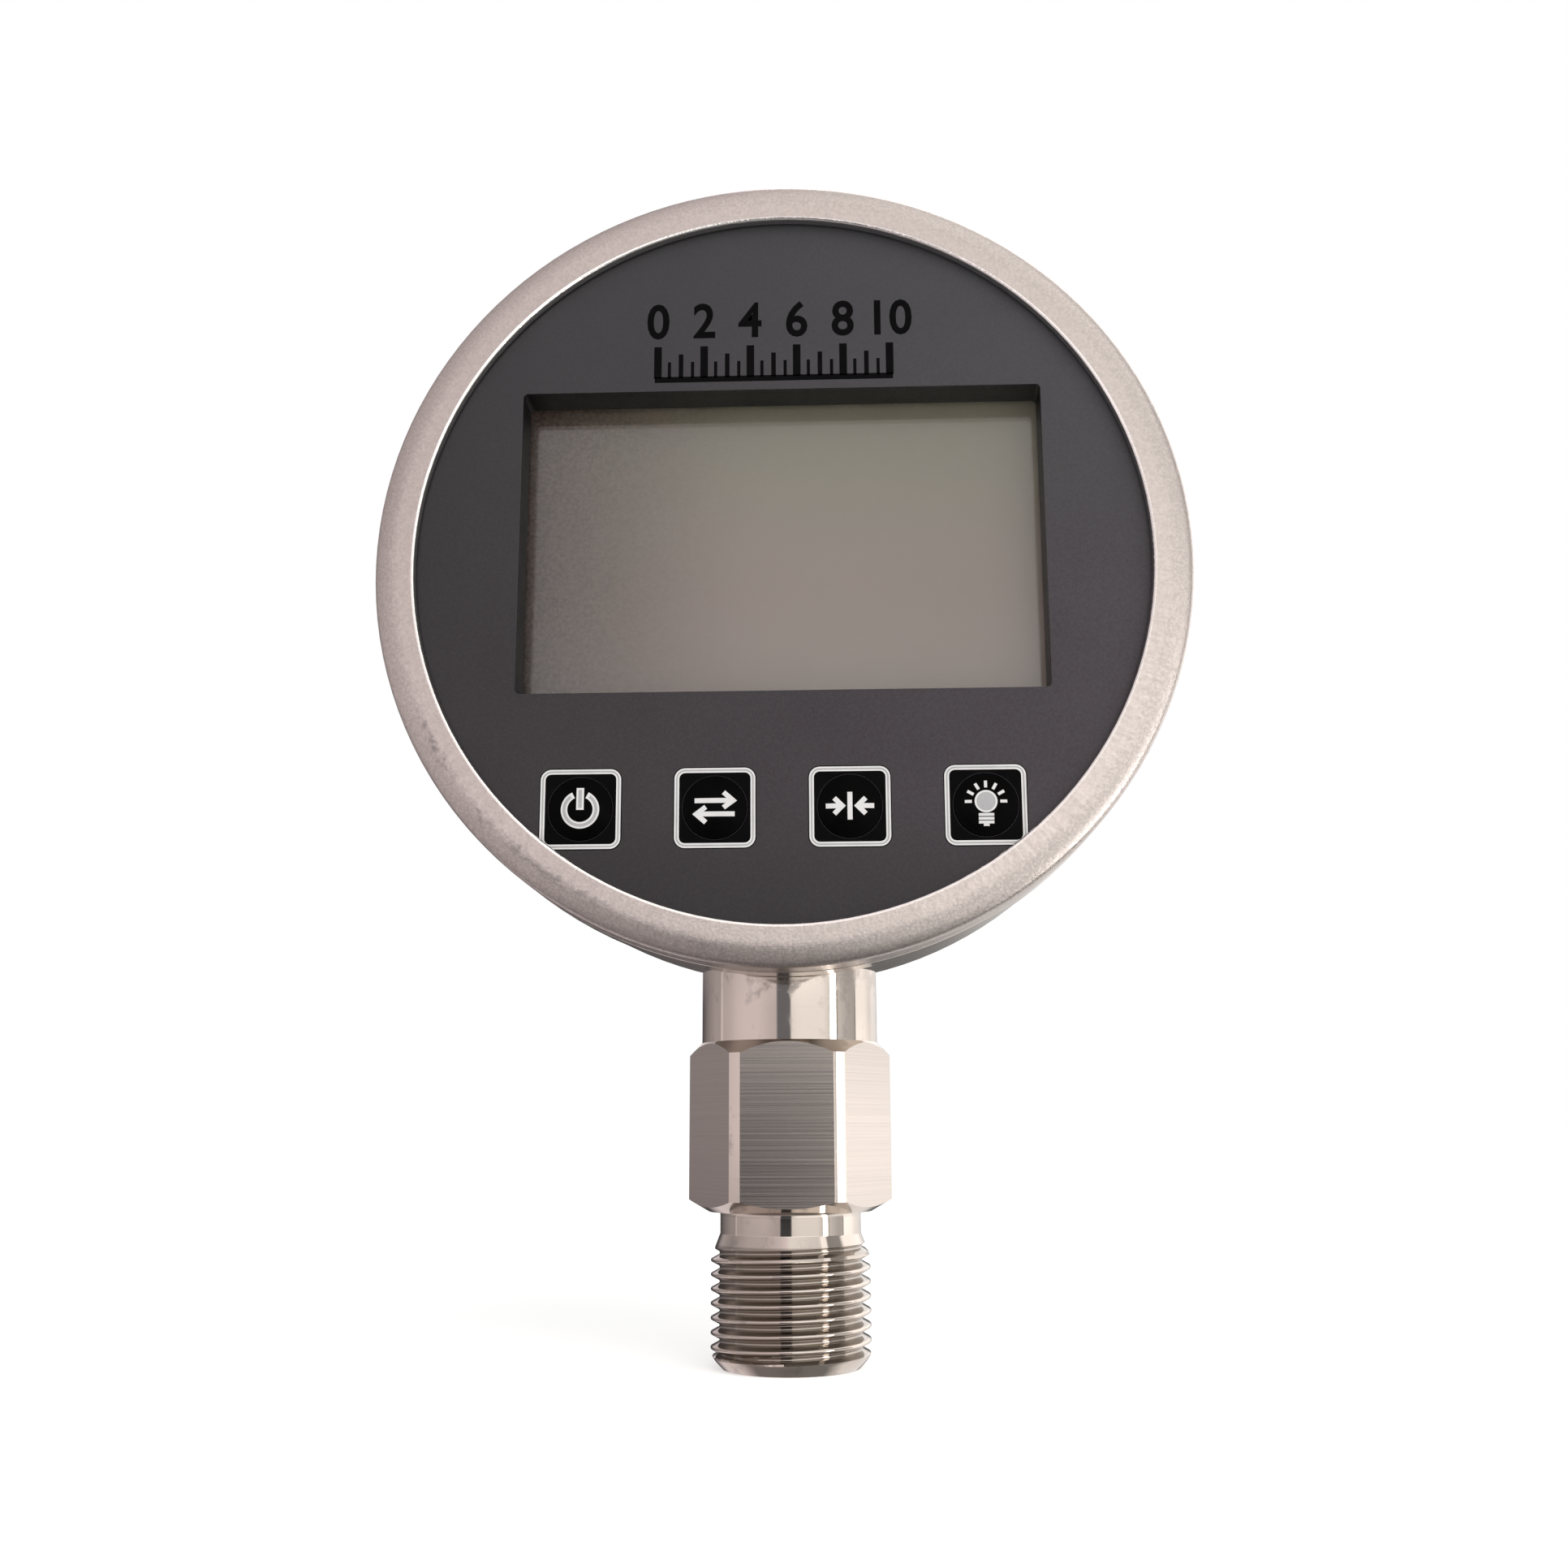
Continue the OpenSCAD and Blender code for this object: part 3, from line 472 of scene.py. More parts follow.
def patches(node, place, size_mm, detail=2.0, stretch=(1.0, 1.0, 1.0)):
    """Cloudy pattern whose patches are about size_mm across, and longer along an axis of small stretch."""
    scaled = node("Mapping", {"Vector": place, "Scale": stretch})
    return node("TexNoise", {"Vector": scaled, "Scale": 1 / (size_mm * MM), "Detail": detail,
                             "Roughness": 0.55})


def around_dial(node, place):
    """Coordinates about the dial's axis: distance from it, arc length at 50 mm, depth, and height over it."""
    moved = node("Mapping", {"Vector": place, "Location": (0.0, 0.0, -DIAL_CENTRE.z)})
    side, depth, up = node("SeparateXYZ", (moved,)).outputs
    away = node("VectorMath LENGTH", (node("CombineXYZ", {0: side, 2: up}),))
    angle = node("Math ARCTAN2", (up, side))
    return away, node("Math MULTIPLY", (angle, 50 * MM)), depth, up


def blasted_steel(c):
    """Stainless steel, bead blasted: a warm, even grey with a fine grain that breaks up every reflection,
    short radial streaks from the blasting, a crown darkened with painted shade that grows towards the bottom,
    and scuffs at the lower left."""
    made, node, place = begin("Stainless steel, bead blasted")
    away, arc, depth, up = around_dial(node, place)
    polar = node("CombineXYZ", (arc, away, depth))
    # The beads' dents are taken to be finer than a pixel; their grain is drawn at 0.35 mm, so that it shows.
    grain = patches(node, place, 0.35, 3.0)
    streak = patches(node, polar, 0.5, 3.0, (1.0, 0.18, 0.3))
    # The crown's painted shade begins at an uneven edge, where the blasting gun's short strokes overlap.
    strokes = patches(node, polar, 0.45, 3.0, (1.0, 0.4, 1.0))
    uneven = node("Math MULTIPLY_ADD", (strokes, 1.6 * MM, away))
    crown = node("MapRange", (uneven, *CROWN_SHADE, 0, 1), **SOFT)
    # Painted shade: the crown is darkened, more towards the bottom of the dial.
    below = node("MapRange", (up, -45 * MM, 30 * MM, 0.34, 0.12), **SOFT)
    grain_with_painted_shade = node("Math MULTIPLY", (node("MapRange", (grain, 0.35, 0.6, 0.2, 1)), below))
    dull = node("Math MULTIPLY", (crown, grain_with_painted_shade))
    # Scuffs lie along that edge at the lower left.
    near = 0.0
    for turn, reach in SCUFFS:
        turn = math.radians(turn)
        spot = (SCUFF_R * math.cos(turn), BEZEL_LOW.y, DIAL_CENTRE.z + SCUFF_R * math.sin(turn))
        apart = node("VectorMath DISTANCE", (place, spot))
        close = node("MapRange", (apart, 0.4 * reach, reach, 1, 0), **SOFT)
        near = node("Math MAXIMUM", (close, near))
    inside = node("MapRange", (uneven, *SCUFFS_IN, 0, 1), **SOFT)
    outside = node("MapRange", (uneven, *SCUFFS_OUT, 1, 0), **SOFT)
    marks = node("MapRange", (patches(node, polar, 0.7, 5.0, (0.6, 1.0, 1.0)), 0.42, 0.64, 0, 1))
    scuff = near
    for share in (inside, outside, marks):
        scuff = node("Math MULTIPLY", (scuff, share))
    dark = rgba(c.blasted_dark)
    # The dull coat over the crown is painted shade; the grain and scuffs are the steel's own.
    tone = coated(
        node, rgba(c.blasted),
        (node("MapRange", (patches(node, place, 14.0, 3.0), *SPAN, 0, 0.35)), rgba(c.blasted, 0.93)),
        (node("MapRange", (grain, *SPAN, 0, 0.35)), dark), (dull, dark),
        (node("MapRange", (scuff, 0, 1, 0, 0.6)), rgba(dark, 0.74)))
    # The lip's rounded edge was cut after the blasting, so it mirrors; its brighter colour is a painted
    # highlight.
    edge = node("MapRange", (away, *LIP_EDGE_HIGHLIGHT, 0, 1))
    rough = node("Math ADD", (node("MapRange", (streak, *SPAN, 0.30, 0.42)),
                              node("MapRange", (scuff, 0, 1, 0, 0.12))))
    first = node("Bump", {"Height": streak, "Distance": 0.012 * MM})
    return end(made, {
        "Metallic": 1.0, "Base Color": coated(node, rgba(c.cut), (edge, tone)),
        "Roughness": node("Mix", {0: edge, 2: 0.08, 3: rough}),
        "Normal": node("Bump", {"Height": grain, "Distance": 0.02 * MM, "Normal": first})})


def polished_steel(c):
    """Stainless steel, spun and polished: clear, slightly stretched reflections with faint rings about the
    case's axis and a few dull smears from handling."""
    made, node, place = begin("Stainless steel, spun and polished")
    away, _, depth, _ = around_dial(node, place)
    # The polish's rings are taken to be finer than a pixel and drawn at 0.12 mm, so that they show.
    rings = patches(node, node("CombineXYZ", (away, depth)), 0.12)
    smear = node("MapRange", (patches(node, place, 16.0, 1.5), 0.45, 0.85, 0, 1), **SOFT)
    rough = node("Math ADD", (node("MapRange", (rings, *SPAN, 0.13, 0.19)),
                              node("MapRange", (smear, 0, 1, 0, 0.08))))
    return end(made, {
        "Metallic": 1.0, "Roughness": rough,
        "Base Color": coated(node, rgba(c.polished),
                             (node("MapRange", (smear, 0, 1, 0, 0.2)), rgba(c.blasted_dark))),
        "Normal": node("Bump", {"Height": rings, "Distance": 0.0012 * MM})})


def turned_steel(c, s):
    """Stainless steel, turned, with ground flats: bright and mirror-like where it is turned, with faint tool
    rings and dull spots from handling; fine level brush lines on the flats spread the reflection."""
    made, node, place = begin("Stainless steel, turned and ground")
    # How far a point lies along each of the three directions that the flats face; a flat's points have
    # the full half width in theirs, and all turned surfaces stay below it.
    reach = 0.0
    for facing in (0, 60, 120):
        towards = (math.sin(math.radians(facing)), math.cos(math.radians(facing)), 0.0)
        along = node("Math ABSOLUTE", (node("VectorMath DOT_PRODUCT", (place, towards)),))
        reach = node("Math MAXIMUM", (along, reach))
    flat = node("MapRange", (reach, s.hex_half - 0.02 * MM, s.hex_half - 0.01 * MM, 0, 1))
    # Brush lines 0.1 mm apart, straight over a whole flat; the tool rings of the turned parts are as close.
    lines = patches(node, place, 0.12, 0.0, (0.003, 0.003, 1.0))
    broad = patches(node, place, 0.2, 1.0, (0.004, 0.004, 1.0))
    x, y, z = node("SeparateXYZ", (place,)).outputs
    # Spots from handling, more of them on the neck.
    handled = node("MapRange", (z, 43 * MM, 53 * MM, 0, 0.14))
    cloud = node("Math ADD", (patches(node, place, 2.6, 4.0, (1.0, 1.0, 0.8)), handled))
    spots = node("MapRange", (cloud, 0.56, 0.72, 0, 1), **SOFT)
    # The thread's grooves, darkened as painted shade: under its crests, over the end's chamfer and below the
    # lead cone.
    out = node("VectorMath LENGTH", (node("CombineXYZ", (x, y)),))
    groove = node("MapRange", (out, s.thread_r - 0.35 * MM, s.thread_r - 0.05 * MM, 1, 0))
    for at, there in ((s.groove_end + 0.2 * MM, 0.0), (s.lead_z - 0.1 * MM, 1.0)):
        held = node("MapRange", (z, at - 0.1 * MM, at + 0.1 * MM, there, 1 - there))
        groove = node("Math MULTIPLY", (groove, held))
    bright, dark = rgba(c.turned), rgba(c.blasted_dark)
    tone = coated(node, bright, (node("MapRange", (spots, 0, 1, 0, 0.4)), dark), (groove, rgba(c.groove)))
    # The front flat was brushed for marking; the other flats were ground finer.
    brush = node("MapRange", (y, -s.hex_half + 0.01 * MM, -s.hex_half + 0.02 * MM, 0.3, 0.07))
    streaky = node("Math MULTIPLY", (node("MapRange", (broad, *SPAN, -1, 1)), brush))
    brushed = coated(node, bright, (node("Math ADD", (streaky, 0.32)), dark))
    clean = node("Math ADD", (node("MapRange", (lines, *SPAN, 0.035, 0.075)),
                              node("MapRange", (spots, 0, 1, 0, 0.22))))
    ground = node("MapRange", (lines, *SPAN, 0.19, 0.23))
    height = node("Math MULTIPLY", (lines, node("MapRange", (flat, 0, 1, 0.06, 1))))
    return end(made, {
        "Metallic": 1.0, "Base Color": coated(node, tone, (flat, brushed)),
        "Roughness": node("Mix", {0: flat, 2: clean, 3: ground}),
        "Normal": node("Bump", {"Height": height, "Distance": 0.0018 * MM})})


def printed_film(c):
    """Polyester film, printed behind and matt in front: near black grey, bluer towards the top and darker
    towards its lower edge, with painted light that makes it paler to the right, and a fine even tooth that
    blurs the room's light into a soft veil."""
    made, node, place = begin("Polyester film, matt")
    x, _, z = node("SeparateXYZ", (place,)).outputs
    up = node("MapRange", (z, DIAL_CENTRE.z - 30 * MM, DIAL_CENTRE.z + 45 * MM, 0, 1), **SOFT)
    # The tooth is taken to be finer than a pixel and drawn at 0.3 mm, so that it shows.
    tooth = patches(node, place, 0.3)
    tone = coated(node, rgba(c.film_low), (up, rgba(c.film_high)),
                  (node("MapRange", (tooth, 0.35, 0.75, 0, 0.6)), rgba(c.film_high, 1.35)))
    # Painted light makes the film paler to the right; it is also darker towards its lower edge.
    painted_light_right = node("MapRange", (x, -FILM_R, FILM_R, 0.7, 1.66))
    down = node("MapRange", (z, DIAL_CENTRE.z - FILM_R, DIAL_CENTRE.z - 30 * MM, 0.56, 1), **SOFT)
    light = node("Math MULTIPLY", (painted_light_right, down))
    return end(made, {
        "IOR": 1.5, "Base Color": node("HueSaturation", {"Color": tone, "Value": light}),
        "Roughness": node("MapRange", (patches(node, place, 12.0), *SPAN, 0.5, 0.58)),
        "Normal": node("Bump", {"Height": tooth, "Distance": 0.012 * MM})})


def clear_sheet():
    """Polycarbonate sheet, polished: clear, with a sharp reflection and the faintest haze."""
    made, node, place = begin("Polycarbonate sheet, clear")
    haze = patches(node, place, 7.0, 3.0)
    return end(made, {"IOR": 1.49, "Transmission Weight": 1.0, "Base Color": rgba(linear("#F4F5F3")),
                      "Roughness": node("MapRange", (haze, 0.4, 0.8, 0, 0.03))})


def display_glass(c):
    """Display glass over its polariser, without power: a warm, calm grey, greener towards the top and dimmed
    towards the left with painted shade, under a smooth front."""
    made, node, place = begin("Display glass on polariser")
    x, _, z = node("SeparateXYZ", (place,)).outputs
    # Painted shade dims the display towards the left.
    across = node("MapRange", (x, -36 * MM, 0, 0, 1), **SOFT)
    up = node("MapRange", (z, DIAL_CENTRE.z - 5 * MM, DIAL_CENTRE.z + 22 * MM, 0, 1), **SOFT)
    # The polariser's tooth is taken to be finer than a pixel and drawn at 0.35 mm, so that it shows.
    grain = patches(node, place, 0.35)
    tone = coated(node, rgba(c.display), (up, rgba(c.display_top)))
    tone = coated(node, rgba(c.display_dim), (across, tone),
                  (node("MapRange", (grain, *SPAN, 0, 0.25)), rgba(c.display, 1.12)))
    return end(made, {"IOR": 1.5, "Coat Weight": 0.3, "Coat Roughness": 0.25, "Base Color": tone,
                      "Roughness": node("MapRange", (grain, *SPAN, 0.32, 0.4))})


def moulded(name, base, second, patch_mm, grain_mm, depth_mm, smooth_at, rough_at, constants):
    """A finish of one stuff: two near tones in soft patches, a grain of its own size, and a roughness that
    wanders between two values. No grain is drawn finer than 0.15 mm, so that each one shows."""
    made, node, place = begin(name)
    patch = node("MapRange", (patches(node, place, patch_mm, 3.0), *SPAN, 0, 1))
    grain = patches(node, place, grain_mm)
    return end(made, {
        **constants, "Base Color": coated(node, rgba(base), (patch, rgba(second))),
        "Roughness": node("MapRange", (grain, *SPAN, smooth_at, rough_at)),
        "Normal": node("Bump", {"Height": grain, "Distance": depth_mm * MM})})


def ink_material(name, tone, second, sheen=0.5):
    """Screen-printed ink: an even layer with a fine tooth; black ink drinks most of the light."""
    return moulded(name, tone, second, 2.5, 0.2, 0.003, 0.42, 0.52,
                   {"IOR": 1.5, "Specular IOR Level": sheen})


# The finishes of the parts inside and behind, by their slot: name, two near colours, size of a patch and
# of the grain in mm, depth of the grain in mm, roughness from and to, and the shader's own constants.
INNER_FINISHES = {
    # Moulded ABS: dark, a little soft, with a spark-eroded tooth.
    "panel_plastic": ("ABS, moulded, black", "#0B0A0B", "#110F10", 9, 0.25, 0.01, 0.38, 0.5, {"IOR": 1.53}),
    # Acetal: smooth and waxy.
    "plunger_plastic": (
        "Acetal, moulded, black", "#151517", "#1C1C1F", 3, 0.3, 0.004, 0.3, 0.4, {"IOR": 1.48}),
    # Nylon: matt, slightly cloudy.
    "switch_plastic": (
        "Nylon, moulded, dark grey", "#2A2A2D", "#343438", 3, 0.25, 0.006, 0.4, 0.52, {"IOR": 1.53}),
    # Silicone rubber: soft sheen without highlights.
    "seal_rubber": ("Silicone rubber, black", "#101011", "#171718", 6, 0.4, 0.01, 0.6, 0.75, {"IOR": 1.41}),
    "contact_rubber": (
        "Conductive rubber, pink and black", "#5A3038", "#241A1C", 0.6, 0.2, 0.004, 0.55, 0.7, {"IOR": 1.41}),
    # Polycarbonate loaded with white: bright and milky.
    "white_plastic": ("Polycarbonate, white", "#DAD9D4", "#E6E5E1", 8, 0.4, 0.004, 0.35, 0.45,
                      {"IOR": 1.58, "Subsurface Weight": 0.1}),
    # Frosted acrylic: a pale green milk that glows from its edge.
    "diffuser": ("Acrylic light guide, frosted", "#D5DAD2", "#E2E6DF", 8, 0.3, 0.006, 0.45, 0.6,
                 {"IOR": 1.49, "Subsurface Weight": 0.15}),
    # Cast epoxy: glossy and tinted when it is clear, dry and dull when it is moulded round a chip.
    "led_resin": (
        "Epoxy resin, pale yellow", "#E3D97A", "#EFE9A4", 1.5, 0.3, 0.002, 0.15, 0.25, {"IOR": 1.55}),
    "chip_epoxy": ("Epoxy, transfer moulded", "#161618", "#202023", 2, 0.15, 0.006, 0.5, 0.62, {"IOR": 1.55}),
    # Solder mask over glass weave: green, glossy, with the weave just to be seen.
    "board_green": ("Solder mask over glass weave", "#0E4A2C", "#14603A", 4, 0.6, 0.01, 0.22, 0.34,
                    {"IOR": 1.55, "Coat Weight": 0.3}),
    "connector_nylon": ("Nylon, moulded, natural", "#D9D3BF", "#E4DFCF", 3, 0.3, 0.006, 0.4, 0.55,
                        {"IOR": 1.53, "Subsurface Weight": 0.1}),
    # Drawn wire sheath: smooth, with a soft sheen along the wire.
    "wire_red": ("Wire sheath, red", "#8E1A1C", "#A32326", 3, 0.4, 0.004, 0.38, 0.5, {"IOR": 1.53}),
    "wire_black": ("Wire sheath, black", "#131314", "#1B1B1D", 3, 0.4, 0.004, 0.38, 0.5, {"IOR": 1.53}),
    # Glass-filled nylon: dark, with a dry, slightly fibrous surface.
    "tray_plastic": (
        "Nylon with glass fibre, black", "#1B1B1D", "#26262A", 7, 0.35, 0.025, 0.48, 0.62, {"IOR": 1.53}),
    # Shrunk label film round a cell: tight and glossy.
    "cell_label": ("Shrink film on steel can", "#20262E", "#2C3540", 12, 0.5, 0.003, 0.18, 0.28,
                   {"IOR": 1.5, "Coat Weight": 0.4}),
    # Plated and turned metals: bright nickel is a warm mirror with fine handling marks, and zinc plate a
    # bluish bright grey with a slightly milky cast.
    "nickel": ("Nickel plate on steel", "#BFB6A6", "#CFC7B9", 4, 0.3, 0.003, 0.2, 0.32, {"Metallic": 1.0}),
    "gold_pins": ("Gold plate on alloy", "#D3A858", "#E0BA6E", 2, 0.2, 0.002, 0.16, 0.26, {"Metallic": 1.0}),
    "brass_nut": ("Brass, turned", "#B79C5A", "#C9B06C", 5, 0.25, 0.006, 0.22, 0.34, {"Metallic": 1.0}),
    "zinc_steel": (
        "Steel, bright zinc plate", "#B9BEC4", "#A6ACB3", 2, 0.2, 0.006, 0.2, 0.34, {"Metallic": 1.0}),
}


def give(slot, material, but=None):
    """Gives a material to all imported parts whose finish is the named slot, but for one."""
    for name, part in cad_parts.items():
        for at in part.material_slots:
            if name != but and at.material.name.split(".")[0] == slot:
                at.material = material


def settle(piece, material, body):
    """Gives a new piece its material, body and slot."""
    piece.data.materials.clear()
    piece.data.materials.append(material)
    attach(piece, body)


# --- operators --------------------------------------------------------------

class GAUGE_OT_stem(bpy.types.Operator):
    """Turned stem with its pipe thread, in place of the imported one"""
    bl_idname = "gauge.stem"
    bl_label = "Stem and thread"

    def execute(self, context):
        s, c = context.scene.gauge_stem, context.scene.gauge_colours
        piece = surface("stem_turned", [stem_grid(s)])
        steel = turned_steel(c, s)
        settle(piece, steel, "housing")
        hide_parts("stem")
        give("turned_steel", steel, "stem")
        return {"FINISHED"}


class GAUGE_OT_housing(bpy.types.Operator):
    """Steel finishes of the bezel and the case"""
    bl_idname = "gauge.housing"
    bl_label = "Bezel and case"

    def execute(self, context):
        c = context.scene.gauge_colours
        give("satin_steel", blasted_steel(c))
        give("polished_steel", polished_steel(c))
        return {"FINISHED"}


class GAUGE_OT_face(bpy.types.Operator):
    """Finishes of the film, the window, the display and the keys"""
    bl_idname = "gauge.face"
    bl_label = "Face, window and keys"

    def execute(self, context):
        c = context.scene.gauge_colours
        give("face_film", printed_film(c))
        give("clear_window", clear_sheet())
        give("display_glass", display_glass(c))
        # Gloss polycarbonate: black with clear, soft-edged highlights and the marks of fingers.
        give("key_plastic",
             moulded("Polycarbonate, moulded, gloss black", c.key, rgba(c.key, 1.6), 5, 1.2, 0.002, 0.16, 0.3,
                     {"IOR": 1.5, "Specular IOR Level": 0.02}))
        return {"FINISHED"}


class GAUGE_OT_inner(bpy.types.Operator):
    """Finishes of the parts inside the case and on its back"""
    bl_idname = "gauge.inner"
    bl_label = "Inner parts and back"

    def execute(self, context):
        for slot, (name, base, second, *values) in INNER_FINISHES.items():
            give(slot, moulded(name, linear(base), linear(second), *values))
        return {"FINISHED"}


def key_place(key):
    """Middle of a key on the dial (x, z) and its foremost point (y)."""
    low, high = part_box(key)
    return ((low.x + high.x) / 2, (low.z + high.z) / 2), low.y


class GAUGE_OT_prints(bpy.types.Operator):
    """Frames and dark fields printed round the keys, and the scale over the window"""
    bl_idname = "gauge.prints"
    bl_label = "Prints on the film"

    def execute(self, context):
        p, c = context.scene.gauge_prints, context.scene.gauge_colours
        turn = np.linspace(0, FULL_TURN, FRAME_POINTS)
        line = p.frame_line
        frames, cores, fields = [], [], []
        for key in KEY_NODES:
            centre, _ = key_place(key)
            from_dial = np.array([centre[0], centre[1] - DIAL_CENTRE.z])

            def square(grown, inks):
                """A rounded square, grown from the frame's outside; points past the print's reach, which is
                longer by some times the ink, are drawn in to it."""
                points = round_square(p.frame_half + grown, p.frame_corner + grown, turn) + from_dial
                away = np.linalg.norm(points, axis=1, keepdims=True)
                return points * np.minimum(1, (p.print_reach + inks * p.ink) / away) - from_dial

            for grids, outer, inner, inks in (
                    (frames, square(0, 0), square(-line, -1), 1.5),
                    (cores, square(-CORE_FROM * line, -10), square(-CORE_TO * line, -11), 1.8),
                    (fields, square(FIELD_MARGIN, 1), circle(turn) * p.hole_r, 0.7)):
                grids.append(lay(band_between(outer, inner), centre, FILM_FRONT, inks * p.ink))
        white = ink_material("Screen ink, white", c.ink_white, rgba(c.ink_white, 0.9))
        black = ink_material("Screen ink, black", c.ink_black, rgba(c.ink_black, 1.7), 0.03)
        grey = ink_material("Screen ink, light grey", linear("#B4B4B6"), linear("#A8A8AB"))

        base = p.scale_base
        bars = [stroke(np.array([[-p.scale_left, base], [p.scale_width - p.scale_left, base]]),
                       2 * MARK_INSET)]
        marks = 20
        for i in range(marks + 1):
            x = self.mark_x(p, i / marks)
            tall, wide = LONG_MARK if i % 4 == 0 else MIDDLE_MARK if i % 2 == 0 else SHORT_MARK
            bars.append(stroke(np.array([[x, base + 0.2 * MM], [x, base + tall * MM]]), wide * MM))
        scale = [lay(b, (0.0, DIAL_CENTRE.z), FILM_FRONT, p.ink) for b in bars]
        for name, grids, ink in (("key_frames", frames, white), ("key_frame_cores", cores, grey),
                                 ("key_fields", fields, black), ("scale_marks", scale, black)):
            settle(surface(name, grids), ink, "housing")
        settle(self.numbers(p), black, "housing")
        return {"FINISHED"}

    def mark_x(self, p, share):
        """Where a mark stands that lies at the given share of the scale."""
        return -p.scale_left + MARK_INSET + share * (p.scale_width - 2 * MARK_INSET)

    def numbers(self, p):
        """The plain numbers 0 to 10 over the tall marks, each made a mesh and then laid on the film."""
        points, faces, start = [], [], 0
        size = p.numeral / FIGURE
        for number in range(0, 11, 2):
            text = bpy.data.curves.new("number", "FONT")
            text.body, text.size = str(number), 1.0
            text.align_x, text.offset, text.extrude = "CENTER", BOLDER, 0.5
            text.resolution_u = 4
            holder = placed("number", text)
            bpy.context.view_layer.update()
            mesh = bpy.data.meshes.new_from_object(
                holder.evaluated_get(bpy.context.evaluated_depsgraph_get()))
            co = np.empty(len(mesh.vertices) * 3)
            mesh.vertices.foreach_get("co", co)
            x, y, z = co.reshape(-1, 3).T
            flat = np.column_stack([x * size * NARROW + self.mark_x(p, number / 10),
                                    y * size + p.scale_base + NUMBERS_UP, z * 2])
            points.append(lay(flat, (0.0, DIAL_CENTRE.z), FILM_FRONT, p.ink))
            faces += [[start + v for v in polygon.vertices] for polygon in mesh.polygons]
            start += len(x)
            bpy.data.objects.remove(holder)
            bpy.data.meshes.remove(mesh)
            bpy.data.curves.remove(text)
        return finished("scale_numbers", mesh_of("scale_numbers", np.concatenate(points), faces), 30.0)


class GAUGE_OT_symbols(bpy.types.Operator):
    """Symbols printed on the four keys"""
    bl_idname = "gauge.symbols"
    bl_label = "Symbols on the keys"

    def execute(self, context):
        p, c = context.scene.gauge_prints, context.scene.gauge_colours
        white = ink_material("Pad ink, white", c.ink_white, rgba(c.ink_white, 0.9))
        # The lamp's glass is a light grey inside its white outline.
        grey = ink_material("Pad ink, light grey", linear("#B7B7B9"), linear("#ABABAE"))
        line = p.symbol_line
        ring = arc_path((0, -0.1 * MM), 2.0 * MM, 90 + 25, 360 + 90 - 25, 60)
        power = [stroke(ring, 0.82 * MM), bar(0.94 * MM, (0, 2.65), (0, -0.15))]
        power_core = [stroke(ring[2:-2], 0.36 * MM), bar(0.44 * MM, (0, 2.4), (0, 0.1))]
        swap, centred = [], [bar(line, (0, 1.75), (0, -1.75))]
        for side in (1, -1):
            swap += [bar(line, (-2.5, 0.85), (1.9, 0.85), flip=(side, side)),
                     bar(line, (1.1, 1.9), (2.3, 0.85), (1.1, -0.05), flip=(side, side))]
            centred += [bar(line, (3.0, 0), (1.25, 0), flip=(side, 1)),
                        bar(line, (1.95, 1.0), (0.95, 0), (1.95, -1.0), flip=(side, 1))]
        glass = np.array([0, 0.37]) * MM
        rays = [stroke(glass + circle(a) * np.array([[1.75], [2.62]]) * MM, 0.38 * MM)
                for a in np.radians(np.linspace(0, 180, 7))]
        foot = [bar(0.36 * MM, (-0.95, y), (0.95, y)) for y in (-1.3, -1.78, -2.24)]
        foot.append(bar(0.3 * MM, (-0.36, -2.58), (0.36, -2.58)))
        rim = [stroke(arc_path(glass, 1.29 * MM, 0, 360, 61)[:-1], 0.24 * MM, closed=True)]
        spot = [disc(glass, 1.25 * MM)]
        # Each symbol: its strokes, its key, its ink, and its height in inks.
        for name, strokes, key, ink, inks in (
                ("power_symbol", power, 0, white, 1), ("swap_symbol", swap, 1, white, 1),
                ("centre_symbol", centred, 2, white, 1), ("lamp_symbol", rays + foot + rim, 3, white, 1),
                ("power_symbol_core", power_core, 0, grey, 1.3), ("lamp_glass_symbol", spot, 3, grey, 0.6)):
            centre, front = key_place(KEY_NODES[key])
            grids = [lay(fine(grid), centre, front, inks * p.ink, (p.dome, p.key_r)) for grid in strokes]
            settle(surface(name, grids), ink, KEY_BODIES[key])
        return {"FINISHED"}


